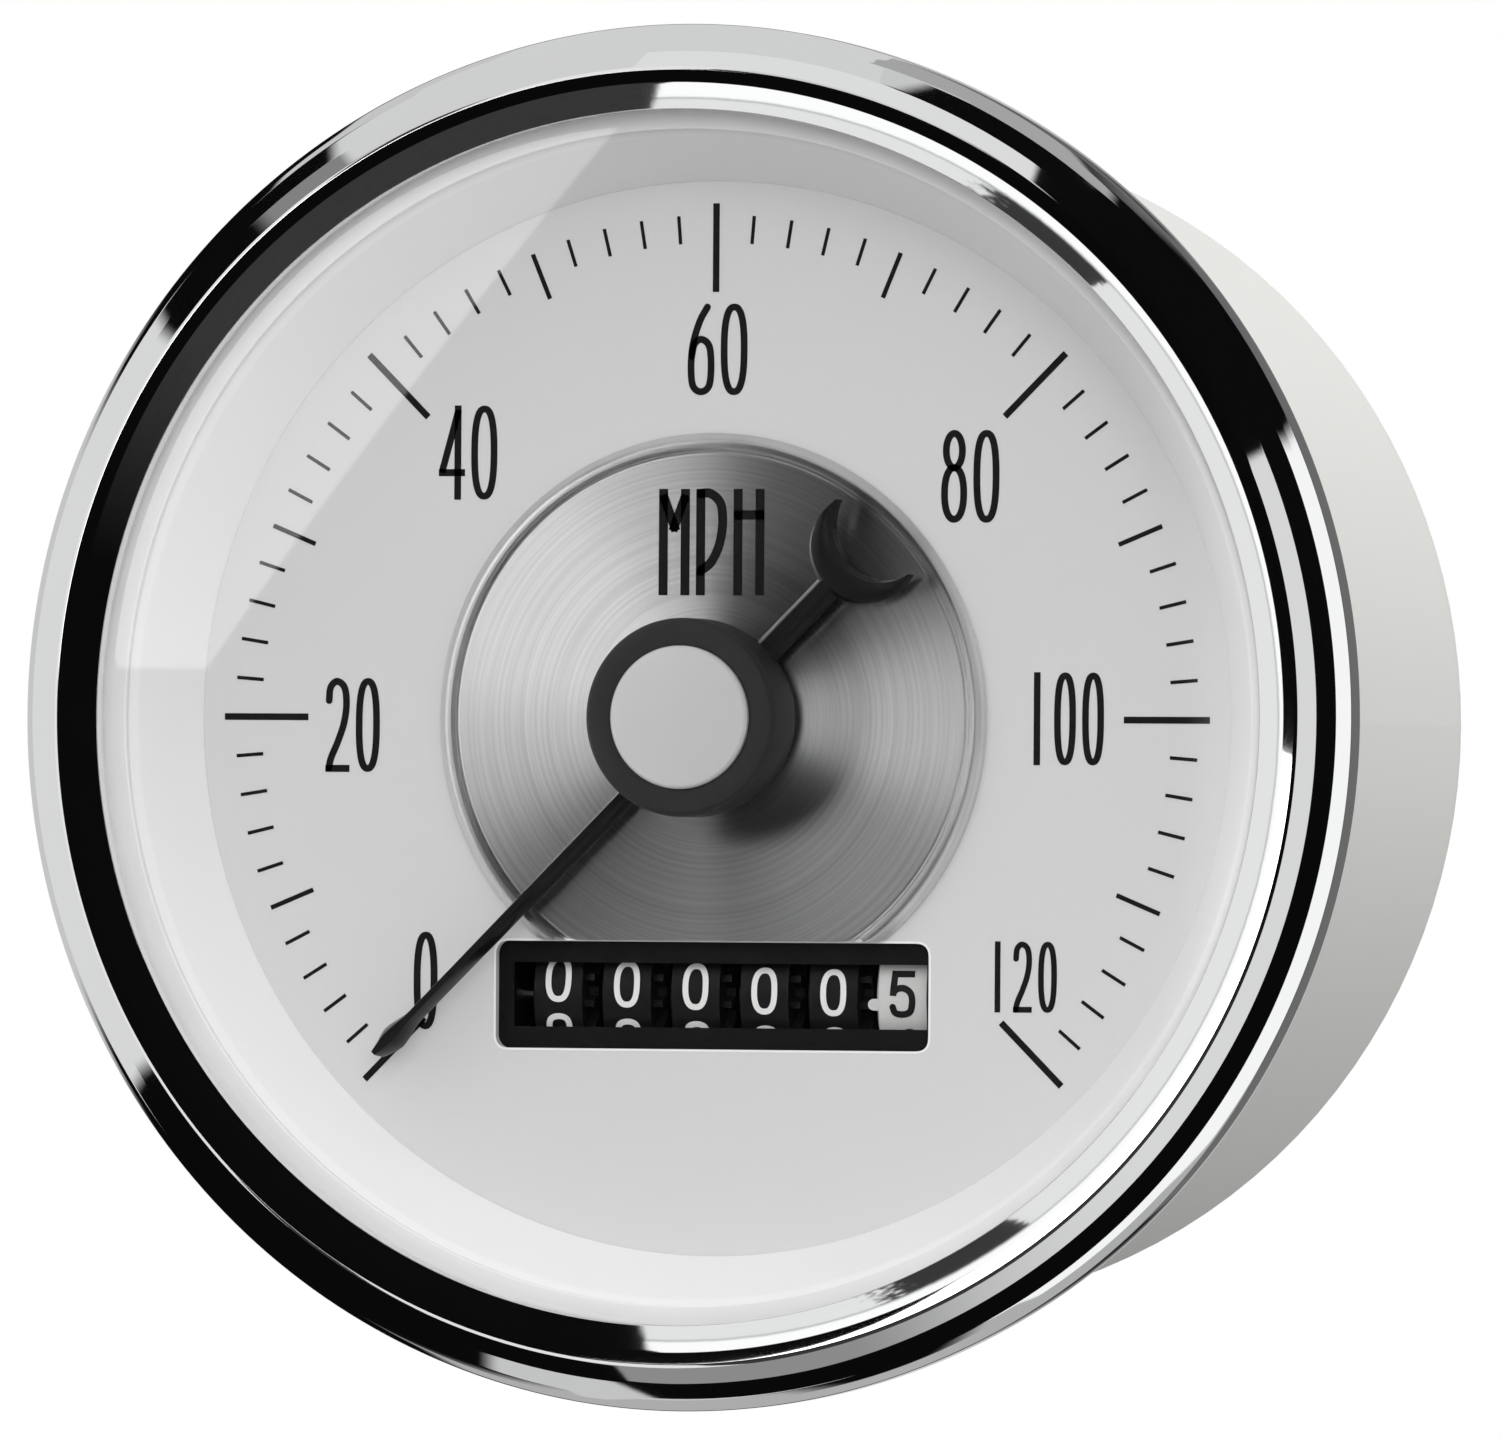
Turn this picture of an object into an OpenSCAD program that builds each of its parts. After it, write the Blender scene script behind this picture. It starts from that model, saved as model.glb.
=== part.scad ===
// In-dash mechanical speedometer with a six-wheel odometer.
// Millimetres. The gauge's axis is Y: the dial faces -Y and the case runs to +Y.
// +Z is up and +X is to the right as the driver sees it.
// The origin is on the axis, in the plane where the bezel seats on the dash panel.

/* [Bezel and lens] */
// How far the bezel stands out past the case barrel
bezel_flange = 5.25; // [4.8:0.05:6]
// Distance of the bezel's crest from its outer edge
crest_in = 3.05; // [2.8:0.05:3.3]
// Width of the slope from the crest to the inner lip
lip_slope_w = 2.4; // [2:0.1:2.6]
// Height of the crest in front of the inner lip
lip_slope_h = 0.67; // [0.4:0.01:1]
// Width of the rolled edge outside the lens
rolled_edge_w = 1.25; // [1.1:0.05:1.4]
// Thickness of the bezel's sheet
bezel_wall = 0.7; // [0.5:0.05:0.8]
// Thickness of the lens
lens_t = 1.6; // [1.4:0.1:1.8]
// How far the middle of the lens bulges forward
lens_dome = 2.5; // [2.2:0.1:4]
// Thickness of the gasket behind the lens
gasket_t = 0.6; // [0.4:0.1:0.8]

/* [Dial] */
// Depth of the dial's face behind the panel plane
dial_depth = 3.5; // [3:0.1:4.5]
// Thickness of the dial
dial_t = 0.8; // [0.5:0.1:1]
// Width of the spacer's flat edge behind the gasket
spacer_edge_w = 1; // [0.8:0.1:1.2]
// Width of the spacer's white slope
spacer_slope_w = 2.5; // [2:0.1:3]
// Radius of the brushed centre disc
disc_r = 17.7; // [17:0.1:18.5]
// Thickness of the centre disc
disc_t = 0.6; // [0.4:0.1:0.8]
// Width of the disc's raised rim
disc_rim_w = 1.1; // [0.9:0.1:1.4]
// Height of the disc's raised rim
disc_rim_h = 0.35; // [0.2:0.05:0.5]
// Radius of the hole in the dial for the pointer staff
dial_hole_r = 2; // [1.6:0.1:2.5]

/* [Case] */
// Outer radius of the case barrel
case_r = 37.6; // [37.4:0.1:38]
// Wall of the case
case_wall = 0.7; // [0.5:0.05:0.9]
// Depth of the case behind the panel plane
case_depth = 46.5; // [46:0.5:54]
// Outer radius of the rear corner
case_corner_r = 4.5; // [3:0.5:6]

/* [Pointer] */
// Height of the pointer's underside above the dial
pointer_clear = 2; // [1.8:0.1:2.4]
// Thickness of the pointer blade
blade_t = 1.5; // [1:0.1:1.6]
// Width of the pointer blade
blade_w = 1; // [0.8:0.1:1.4]
// Reach of the pointer blade from its axis
blade_reach = 29.6; // [27:0.1:31]
// Widest width of the leaf near the tip
leaf_w = 1.7; // [1.4:0.1:2.2]
// Width of the tail's stem
tail_w = 1.5; // [1.2:0.1:2]
// Radius of the tail's crescent
crescent_r = 3.5; // [3:0.1:3.8]
// Radius of the pointer hub
hub_r = 6.14; // [5.5:0.1:6.6]
// Height of the pointer hub above the blade
hub_h = 3.5; // [3:0.1:3.6]
// Radius of the hub's flat metal cap
cap_r = 4.43; // [4:0.1:5]
// Sweep of the pointer from zero to full scale, in degrees
sweep = 270; // [240:1:280]

/* [Odometer] */
// Height of the odometer's axis below the gauge's axis
odo_drop = 17.2; // [17:0.1:17.5]
// Radius of the number wheels
wheel_r = 5.8; // [5.5:0.1:5.8]
// Spacing of the number wheels
wheel_pitch = 4.47; // [4.3:0.01:4.6]
// Width of a wheel's printed rim
wheel_w = 3.1; // [2.8:0.1:3.2]
// Gap between the mask and the number wheels
wheel_gap = 0.3; // [0.25:0.05:0.5]
// Width of the window in the mask
window_w = 26.8; // [26:0.1:27.2]
// Height of the window in the mask
window_h = 4; // [3.6:0.1:4.4]
// Width of the opening in the dial round the mask
frame_w = 28.2; // [28:0.1:29]
// Height of the opening in the dial round the mask
frame_h = 6.8; // [6.4:0.1:7]
// Thickness of the mask
mask_t = 0.4; // [0.3:0.05:0.5]
// Radius of the odometer's shaft
odo_shaft_r = 1; // [0.8:0.05:1.2]
// Running clearance of every wheel and shaft, on the radius
run_gap = 0.05; // [0.03:0.01:0.08]

/* [Speed mechanism] */
// Outer radius of the magnet
magnet_r = 11.1; // [10.5:0.1:11.2]
// Thickness of the magnet
magnet_t = 5; // [4:0.1:5.4]
// Air gap on each side of the speed cup's wall
air_gap = 0.6; // [0.5:0.05:0.65]
// Wall of the speed cup
cup_wall = 0.4; // [0.3:0.05:0.5]
// Wall of the steel field cup
field_wall = 1; // [0.8:0.1:1.1]
// Depth of the front bridge behind the panel plane
bridge_y = 12.4; // [12:0.1:12.6]
// Thickness of the front bridge
bridge_t = 1.2; // [1:0.1:1.3]
// Depth of the main plate behind the panel plane
plate_y = 26; // [25.9:0.1:26.2]
// Thickness of the main plate
plate_t = 1.6; // [1.4:0.1:1.8]

/* [Gear train] */
// Module of the first worm and its wheel
worm1_m = 0.6; // [0.56:0.01:0.62]
// Pitch radius of the first worm
worm1_r = 2.6; // [2.5:0.05:2.8]
// Teeth on the cross wheel
cross_teeth = 20; // [20:1:20]
// Module of the second worm and its wheel
worm2_m = 0.36; // [0.34:0.01:0.36]
// Pitch radius of the second worm
worm2_r = 2; // [1.9:0.05:2.2]
// Teeth on the lay wheel
lay_teeth = 50; // [50:1:50]
// Module of the three spur gears
spur_m = 0.4; // [0.38:0.01:0.4]
// Teeth on the lay pinion and on the odometer's drive gear
drive_teeth = 20; // [20:1:20]
// Teeth on the idler gear
idler_teeth = 19; // [19:2:19]

/* [Back] */
// Radius of the threaded cable stem
stem_r = 7.94; // [7.5:0.02:8.2]
// Length of the cable stem behind the case
stem_out = 13.5; // [11:0.5:16]
// Radius of the seat for the cable's ferrule
ferrule_r = 5; // [4.8:0.1:5.4]
// Depth of the ferrule's seat
ferrule_l = 5; // [4:0.5:6]
// Radius of the drive spindle
spindle_r = 1.6; // [1.5:0.05:1.8]
// Across flats of the square socket for the drive cable
drive_square = 2.7; // [2.6:0.05:2.8]
// Radius of the mounting studs
stud_r = 2.4; // [2:0.05:2.5]
// Distance of the mounting studs from the case's wall
stud_in = 12.2; // [11.5:0.1:13]
// Length of the mounting studs behind the case
stud_out = 21.5; // [15:0.5:26]
// Distance of the lamps from the case's wall
lamp_in = 12.84; // [12.6:0.02:14]
// Radius of the lamp holes in the case
lamp_hole_r = 6.2; // [6:0.1:6.5]
// Length of the lamp bulbs in front of the back wall
bulb_l = 15.5; // [12:0.5:16]
// Radius of the bulbs' glass
bulb_r = 4.8; // [4:0.1:5.2]
// Length of the lamp sockets behind the case
socket_out = 7.6; // [6:0.2:9]
// Length of the lamps' blade contacts
contact_l = 5; // [4:0.2:6]

/* [Hidden] */
$fn = 96;
fine = 0.1;

// Bezel stack, from the panel forward
crimp_front = -bezel_wall;
gasket_back = crimp_front - case_wall;
lens_back = gasket_back - gasket_t;
lip_back = lens_back - lens_t;
lip_front = lip_back - 0.9 * bezel_wall;
crest_front = lip_front - lip_slope_h;

// Radii, all from the case barrel
rim_gap = 0.2;
flare = 0.6;
lens_gap = 0.4;
spacer_gap = 0.1;
gasket_edge = 0.5;
bezel_r = case_r + bezel_flange;
bezel_crest_r = bezel_r - crest_in;
bezel_lip_r = bezel_crest_r - lip_slope_w;
channel_r = bezel_r - rolled_edge_w;
lens_r = channel_r - lens_gap;
case_in_r = case_r - case_wall;
spacer_r = case_in_r - spacer_gap;
spacer_top_r = spacer_r - spacer_edge_w;
dial_view_r = spacer_top_r - spacer_slope_w;

// Dial and pointer
dial_back = dial_depth + dial_t;
blade_back = dial_depth - pointer_clear;
blade_front = blade_back - blade_t;
hub_front = blade_front - hub_h;
cap_rise = 0.4;
cap_sink = 0.3;
staff_r = 0.6;
pivot_r = 0.4;
zero_angle = 225;

// Odometer
mask_back = dial_back + mask_t;
odo_y = mask_back + wheel_gap + wheel_r;
odo_z = -odo_drop;
wheel_count = 6;
first_wheel_x = -10.45;
ring_teeth = 20;
pinion_teeth = 8;
ring_m = 0.48;
ring_w = 0.6;
driver_w = 0.55;
ring_pitch_r = ring_teeth * ring_m / 2;
pinion_pitch_r = pinion_teeth * ring_m / 2;
pinion_tilt = 15;
pinion_a = ring_pitch_r + pinion_pitch_r;
pinion_y = odo_y + pinion_a * sin(pinion_tilt);
pinion_z = odo_z - pinion_a * cos(pinion_tilt);
pinion_shaft_r = 0.7;
last_wheel_x = first_wheel_x + (wheel_count - 1) * wheel_pitch;
drive_gear_x = last_wheel_x + 2.7;
drive_gear_w = 1.4;

// Brackets of the odometer
bracket_t = 1.2;
bracket_right_x = 16.8;
bracket_left_x = -14.6;

// Drag cup and magnet
cup_in_r = magnet_r + air_gap;
cup_out_r = cup_in_r + cup_wall;
field_in_r = cup_out_r + air_gap;
field_out_r = field_in_r + field_wall;
field_floor_t = 1;
cup_front = 16.6;
cup_floor_t = 0.4;
magnet_front = cup_front + cup_floor_t + 1;
cup_back = magnet_front + magnet_t + 0.4;
field_front = 17.4;
bridge_back = bridge_y + bridge_t;
bridge_span = 18.5;
bridge_z = 4;
pillar_r = 1.8;
plate_back = plate_y + plate_t;
spindle_front = magnet_front;
spring_outer = 6.3;
spring_stud_r = 0.5;
spring_stud_l = 1.7;
spring_stud_x = spring_outer + spring_stud_r + fine;
pivot_bore_l = 3;

// Back of the gauge
rear_in = case_depth - case_wall;
stem_flange_r = 11;
stem_flange_t = 1.2;
stem_back = case_depth + stem_out;
bush_r = 4.4;
journal_r = 2.4;
spindle_back = stem_back - ferrule_l - 0.6;
stud_head_r = 4.2;
stud_head_t = 1;
washer_t = 0.8;
nut_t = 3.2;
frame_post_r = 2.4;
screw_r = 1.2;
screw_head_r = 2.2;
screw_head_t = 1.4;
foot_w = 2.2;
post_x = bracket_right_x + bracket_t + foot_w + frame_post_r + spacer_gap;
post_z = -10.6;
post_in = 12.6;
post_top = case_r - post_in;
frame_post_at = [[0, post_top], [-post_x, post_z], [post_x, post_z]];
arm_r = 1.75 * frame_post_r;
stud_spacing = 2 * (case_r - stud_in);
lamp_angle = 46.6;
lamp_x = (case_r - lamp_in) * cos(lamp_angle);
lamp_z = (case_r - lamp_in) * sin(lamp_angle);
lamp_flange_r = lamp_hole_r + 1.8;
lamp_flange_t = 1.4;
bulb_base_r = 2.5;
bulb_base_l = 6.5;
stem_nut_r = stem_r + 3.66;
stem_nut_t = 2.6;
shank_step = 0.25;
shank_past = 0.4;
washer_w = 3;
washer_r = stud_r + washer_w;
stud_nut_w = 2.8;
stud_nut_r = stud_r + stud_nut_w;
bridge_hub_r = 7.2;
bridge_end_r = 3;
jewel_r = 1.6;
bush_hub_r = 3.2;
bush_flange_r = 3.8;

// Gear train: worm 1 turns the cross wheel, worm 2 turns the lay wheel. The gears have the sizes above
// where full_depth lies between the odometer's shaft and the stem, and grow or shrink with that depth.
// The lay wheel keeps its distance to the number wheels
full_depth = 33.8;
full_drop = 4;
full_spur = (drive_teeth + idler_teeth) * spur_m;
full_spur_depth = sqrt(full_spur * full_spur - full_drop * full_drop);
lay_tip_r = (lay_teeth / 2 + 1) * worm2_m;
kept_a = full_spur - lay_tip_r;
kept_depth = full_spur_depth * kept_a / full_spur;
train_depth = rear_in - stem_flange_t - odo_y;
worm_share = (train_depth - kept_depth) / (full_depth - kept_depth);
spur_share = (kept_a + lay_tip_r * worm_share) / full_spur;
first_m = worm1_m * worm_share;
first_r = worm1_r * worm_share;
second_m = worm2_m * worm_share;
second_r = worm2_r * worm_share;
gear_m = spur_m * spur_share;
bush_front = rear_in - stem_flange_t - 2 * worm_share;
cross_r = cross_teeth * first_m / 2;
cross_x = first_r + cross_r;
lay_r = lay_teeth * second_m / 2;
lay_a = second_r + lay_r;
idler_a = (drive_teeth + idler_teeth) * gear_m / 2;
spur_a = 2 * idler_a;
lay_drop = full_drop * spur_share;
lay_y = odo_y + sqrt(spur_a * spur_a - lay_drop * lay_drop);
lay_z = odo_z - lay_drop;
idler_y = (odo_y + lay_y) / 2;
idler_z = (odo_z + lay_z) / 2;
cross_y = lay_y + lay_a;
worm1_l = 8;
worm2_l = 5;
cross_wheel_w = 2;
lay_wheel_w = 1.6;
small_shaft_r = 0.9;
cross_top = 1.6;
cross_bottom = -28.2;
tab_t = 1.4;
upper_tab_z = -10.4;
lower_tab_z = -27.6;
side_t = 1.4;
side_gap = 0.512;
side_x = cross_x - second_r - 0.8 * second_m - side_gap - side_t;

// Shapes turned about the gauge's axis: points are [radius, depth]
module turned(points) {
    rotate([-90, 0, 0]) rotate_extrude() polygon(points);
}

// A round rod along Y from y0 to y1 at [x, z]
module rod_y(at, y0, y1, r) {
    translate([at[0], y0, at[1]]) rotate([-90, 0, 0]) cylinder(h = y1 - y0, r = r);
}

// A round rod along X from x0 to x1 at depth y and height z
module rod_x(x0, x1, y, z, r) {
    translate([x0, y, z]) rotate([0, 90, 0]) cylinder(h = x1 - x0, r = r);
}

// A sheet facing the driver: a flat [x, z] outline, t thick, from depth y0
module sheet_y(y0, t) {
    translate([0, y0 + t, 0]) rotate([90, 0, 0]) linear_extrude(t) children();
}

// A sheet facing sideways: a flat [y, z] outline, t thick, from x0
module sheet_x(x0, t) {
    translate([x0, 0, 0]) rotate([90, 0, 90]) linear_extrude(t) children();
}

// A rectangle with round corners, centred
module soft_rect(w, h, r) {
    hull() {
        for (sx = [-1, 1], sz = [-1, 1])
            translate([sx * (w / 2 - r), sz * (h / 2 - r)]) circle(r);
    }
}

// Outline of a gear with straight-sided teeth, one tooth pointing along +X
module gear_outline(teeth, m, share = 0.4) {
    pitch_r = teeth * m / 2;
    root_r = pitch_r - 1.15 * m;
    tip_r = pitch_r + 0.85 * m;
    step = 360 / teeth;
    root_half = step * share * 0.75;
    tip_half = step * share * 0.32;
    polygon([
        for (i = [0 : teeth - 1]) each [
            for (p = [[-root_half, root_r], [-tip_half, tip_r], [tip_half, tip_r], [root_half, root_r]])
                [p[1] * cos(i * step + p[0]), p[1] * sin(i * step + p[0])]
        ]
    ]);
}

// A gear on an axis along X, with a tooth turned by phase from +Y towards +Z
module gear_x(x0, w, y, z, teeth, m, bore_r, phase) {
    translate([x0, y, z]) rotate([90, 0, 90]) linear_extrude(w) difference() {
        rotate(phase) gear_outline(teeth, m);
        circle(bore_r);
    }
}

// A worm along +Z, l long and centred, with its gap facing +X; hand 1 is right, -1 left
module worm(m, pitch_r, l, hand) {
    lead = PI * m;
    turns = l / lead;
    root_r = pitch_r - 1.15 * m;
    tip_r = pitch_r + 0.8 * m;
    sides = 24;
    flat = 360 / sides * 2.5;
    flank = 360 / sides * 3;
    function section_r(a) = abs(a) < flat ? tip_r
        : abs(a) < flat + flank ? tip_r + (abs(a) - flat) / flank * (root_r - tip_r)
        : root_r;
    translate([0, 0, -l / 2])
        rotate(180 - hand * turns * 180)
            linear_extrude(l, twist = -hand * turns * 360, slices = ceil(turns * 14), $fn = sides)
                polygon([
                    for (i = [0 : sides - 1])
                        let (a = i * 360 / sides - 180)
                            [section_r(a) * cos(a), section_r(a) * sin(a)]
                ]);
}

// Bezel: spun ring with a shallow inner slope, a crest and an outer bevel
module bezel() {
    corner = 0.3;
    edge_y = crimp_front - 5 * corner;
    bevel_y = crest_front + 0.35 * (edge_y - crest_front);
    color("gainsboro") turned([
        [bezel_lip_r, lip_front],
        [bezel_crest_r - corner, crest_front + 0.04],
        [bezel_crest_r, crest_front],
        [bezel_crest_r + corner, crest_front + 0.14],
        [bezel_r - 0.55 * crest_in, bevel_y],
        [bezel_r - 0.75, edge_y - 1],
        [bezel_r - corner, edge_y - 0.5],
        [bezel_r, edge_y],
        [bezel_r, -corner],
        [bezel_r - corner, 0],
        [case_r + rim_gap, 0],
        [case_r + flare + rim_gap, crimp_front],
        [channel_r, crimp_front],
        [channel_r, lip_back + 0.6],
        [channel_r - 0.6, lip_back],
        [bezel_lip_r, lip_back]
    ]);
}

// Lens: glass disc with a shallow dome inside a flat rim
module lens() {
    steps = 14;
    dome_r = bezel_lip_r - 0.1;
    ball_r = (dome_r * dome_r + lens_dome * lens_dome) / (2 * lens_dome);
    function dome_y(r) = lip_back - lens_dome + ball_r - sqrt(ball_r * ball_r - r * r);
    rim_r = lens_r - 0.6;
    color("lightblue", 0.3) turned(concat(
        [for (i = [0 : steps]) [dome_r * i / steps, dome_y(dome_r * i / steps)]],
        [[rim_r, lip_back], [lens_r, lip_back + 0.4], [lens_r, lens_back], [dome_r, lens_back]],
        [for (i = [steps - 1 : -1 : 0]) [dome_r * i / steps, dome_y(dome_r * i / steps) + lens_t]]
    ));
}

// Lens gasket: flat ring between the lens and the case's flange
module lens_gasket() {
    color("silver") turned([
        [spacer_top_r + gasket_edge, lens_back],
        [lens_r, lens_back],
        [lens_r, gasket_back],
        [spacer_top_r + gasket_edge, gasket_back]
    ]);
}

// Spacer ring: white funnel that holds the dial down
module spacer_ring() {
    chamfer = 0.7 * spacer_edge_w;
    color("white") turned([
        [spacer_top_r + chamfer, gasket_back],
        [spacer_r, gasket_back],
        [spacer_r, dial_depth],
        [dial_view_r, dial_depth],
        [spacer_top_r, gasket_back + chamfer]
    ]);
}

// Window cut in the dial for the odometer's mask
module mask_opening(grow) {
    translate([0, odo_z]) soft_rect(frame_w + grow, frame_h + grow, 0.9);
}

// Dial plate: enamelled sheet with a staff hole and the odometer's window
module dial_plate() {
    color("whitesmoke") sheet_y(dial_depth, dial_t) difference() {
        circle(spacer_r);
        circle(dial_hole_r);
        mask_opening(0);
    }
}

// Centre disc: brushed sheet with a bevelled rim, cut straight above the odometer
module centre_disc() {
    face_y = dial_depth - disc_t;
    groove = 0.12;
    cut_z = odo_z + frame_h / 2;
    color("silver") difference() {
        turned([
            [dial_hole_r, face_y],
            [disc_r - disc_rim_w - groove, face_y],
            [disc_r - disc_rim_w, face_y + groove],
            [disc_r - disc_rim_w + groove, face_y - disc_rim_h],
            [disc_r - 0.45 * disc_rim_w, face_y - disc_rim_h],
            [disc_r, dial_depth - disc_t / 2],
            [disc_r, dial_depth],
            [dial_hole_r, dial_depth]
        ]);
        translate([-disc_r, dial_depth - disc_t - disc_rim_h - 1, cut_z - disc_r])
            cube([2 * disc_r, disc_t + disc_rim_h + 2, disc_r]);
    }
}

// Odometer mask: black plate behind the dial, with the window for the wheels
module odometer_mask() {
    color("#202020") sheet_y(dial_back, mask_t) difference() {
        translate([(bracket_right_x + bracket_left_x + bracket_t) / 2, odo_z])
            square([bracket_right_x - bracket_left_x + bracket_t, frame_h + 2.4], center = true);
        translate([0.3, odo_z]) square([window_w, window_h], center = true);
    }
}

// Holes through the back of the case
module back_holes() {
    circle(stem_r + shank_step + fine);
    for (sx = [-1, 1]) {
        translate([sx * stud_spacing / 2, 0]) circle(stud_r + shank_step + fine);
        translate([sx * lamp_x, lamp_z]) circle(lamp_hole_r);
    }
    for (p = frame_post_at)
        translate(p) circle(screw_r + fine);
}

// Case shell: drawn can with a rounded rear corner and a front flange
module case_shell() {
    steps = 8;
    in_corner = case_corner_r - case_wall;
    function corner(r, i) = [
        case_r - case_corner_r + r * cos(90 * i / steps),
        case_depth - case_corner_r + r * sin(90 * i / steps)
    ];
    color("lightgray") difference() {
        turned(concat(
            [[lens_r, gasket_back], [lens_r, crimp_front], [case_r + flare, crimp_front]],
            [[case_r, 0]],
            [for (i = [0 : steps]) corner(case_corner_r, i)],
            [[0, case_depth], [0, rear_in]],
            [for (i = [steps : -1 : 0]) corner(in_corner, i)],
            [[case_in_r, gasket_back]]
        ));
        sheet_y(rear_in - 1, case_wall + 2) back_holes();
    }
}

// Main frame: cast plate on three posts between the dial and the back of the case
module main_frame() {
    hole_l = 9;
    color("darkgray") difference() {
        union() {
            sheet_y(plate_y, plate_t) difference() {
                union() {
                    for (p = frame_post_at)
                        hull() {
                            circle(field_out_r + 2.2);
                            translate(p) circle(arm_r);
                        }
                }
                translate([cross_x - lay_wheel_w, lay_z - 2 * lay_r])
                    square([2 * lay_wheel_w, 3 * lay_r + 1.2]);
                circle(bush_hub_r);
            }
            for (p = frame_post_at)
                rod_y(p, dial_back, rear_in, frame_post_r);
        }
        for (p = frame_post_at)
            rod_y(p, rear_in - hole_l, rear_in + 1, screw_r);
    }
}

// Front bridge: bar in front of the speed cup that carries the jewel
module front_bridge() {
    color("darkkhaki") sheet_y(bridge_y, bridge_t) difference() {
        hull() {
            circle(bridge_hub_r);
            for (sx = [-1, 1])
                translate([sx * bridge_span, bridge_z]) circle(bridge_end_r);
        }
        circle(jewel_r);
        for (sx = [-1, 1])
            translate([sx * bridge_span, bridge_z]) circle(screw_r / 2 + fine);
    }
}

// Bridge pillars: two turned posts between the bridge and the main plate
module bridge_pillars() {
    color("goldenrod") for (sx = [-1, 1])
        difference() {
            rod_y([sx * bridge_span, bridge_z], bridge_back, plate_y, pillar_r);
            rod_y([sx * bridge_span, bridge_z], bridge_back - 1, bridge_back + 4, screw_r / 2);
        }
}

// Inner screws: they hold the bridge on its pillars and the brackets on the plate
module inner_screws() {
    head_t = 0.8;
    color("silver") {
        for (sx = [-1, 1]) {
            rod_y([sx * bridge_span, bridge_z], bridge_y - head_t, bridge_y, 1.3);
            rod_y([sx * bridge_span, bridge_z], bridge_y - fine, bridge_back + 3.5, screw_r / 2);
        }
        for (x = [bracket_left_x - foot_w / 2, bracket_right_x + bracket_t + foot_w / 2])
            rod_y([x, post_z - 0.4], plate_y - bracket_t - head_t, plate_y - bracket_t, 0.4 * foot_w);
    }
}

// Jewel bearing: pressed in the bridge, carries the pointer's staff
module jewel_bearing() {
    color("crimson") turned([
        [staff_r + run_gap, bridge_y],
        [jewel_r, bridge_y],
        [jewel_r, bridge_back],
        [staff_r + run_gap, bridge_back]
    ]);
}

// Hairspring: flat spiral from the collet on the staff to the stud on the bridge
module hairspring() {
    turns = 4.5;
    per_turn = 24;
    inner = 1.75;
    band = 0.09;
    count = turns * per_turn;
    function at(i, d) = let (r = inner + (spring_outer - inner) * i / count, a = 360 * i / per_turn)
        [(r + d) * cos(a), (r + d) * sin(a)];
    color("goldenrod") sheet_y(bridge_back + 0.8, 0.5) polygon(concat(
        [for (i = [0 : count]) at(i, band)],
        [for (i = [count : -1 : 0]) at(i, -band)]
    ));
}

// Hairspring stud: pin in the bridge that holds the outer end of the spring
module hairspring_stud() {
    color("goldenrod") rod_y([-spring_stud_x, 0], bridge_back, bridge_back + spring_stud_l,
        spring_stud_r);
}

// Stop pins: two pins on the bridge that the stop arm meets at zero and full scale
module stop_pins() {
    pin_r = 0.5;
    arm_half = asin((0.5 + pin_r + fine) / 5);
    rest = zero_angle;
    color("silver") for (a = [rest - arm_half, rest + sweep + arm_half])
        rod_y([5 * sin(a), 5 * cos(a)], bridge_y - 3.4, bridge_y, pin_r);
}

// Field cup: steel cup on the main plate, round the speed cup
module field_cup() {
    color("slategray") turned([
        [bush_hub_r, plate_y - field_floor_t],
        [field_in_r, plate_y - field_floor_t],
        [field_in_r, field_front],
        [field_out_r, field_front],
        [field_out_r, plate_y],
        [bush_hub_r, plate_y]
    ]);
}

// Spindle bushes: sintered bronze, one in the main plate and one in the stem
module spindle_bushes() {
    color("peru") {
        turned([
            [spindle_r + run_gap, plate_y - field_floor_t],
            [bush_hub_r, plate_y - field_floor_t],
            [bush_hub_r, plate_back],
            [bush_flange_r, plate_back],
            [bush_flange_r, plate_back + 1],
            [spindle_r + run_gap, plate_back + 1]
        ]);
        turned([
            [journal_r + run_gap, bush_front],
            [bush_r, bush_front],
            [bush_r, spindle_back - 1.5],
            [journal_r + run_gap, spindle_back - 1.5]
        ]);
    }
}

// Cable stem: turned tube through the back, with a flange inside the case
module cable_stem() {
    groove = 0.5;
    color("lightsteelblue") turned([
        [bush_r, rear_in - stem_flange_t],
        [stem_flange_r, rear_in - stem_flange_t],
        [stem_flange_r, rear_in],
        [stem_r + shank_step, rear_in],
        [stem_r + shank_step, case_depth + stem_nut_t + shank_past],
        [stem_r, case_depth + stem_nut_t + shank_past],
        [stem_r, stem_back - 1.6 * groove],
        [stem_r - groove, stem_back],
        [ferrule_r, stem_back],
        [ferrule_r, stem_back - ferrule_l],
        [bush_r, stem_back - ferrule_l]
    ]);
}

// Stem nut: thin hexagon nut that clamps the stem to the case
module stem_nut() {
    color("silver") translate([0, case_depth, 0]) rotate([-90, 0, 0]) difference() {
        cylinder(h = stem_nut_t, r = stem_nut_r, $fn = 6);
        translate([0, 0, -1]) cylinder(h = stem_nut_t + 2, r = stem_r + shank_step);
    }
}

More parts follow.
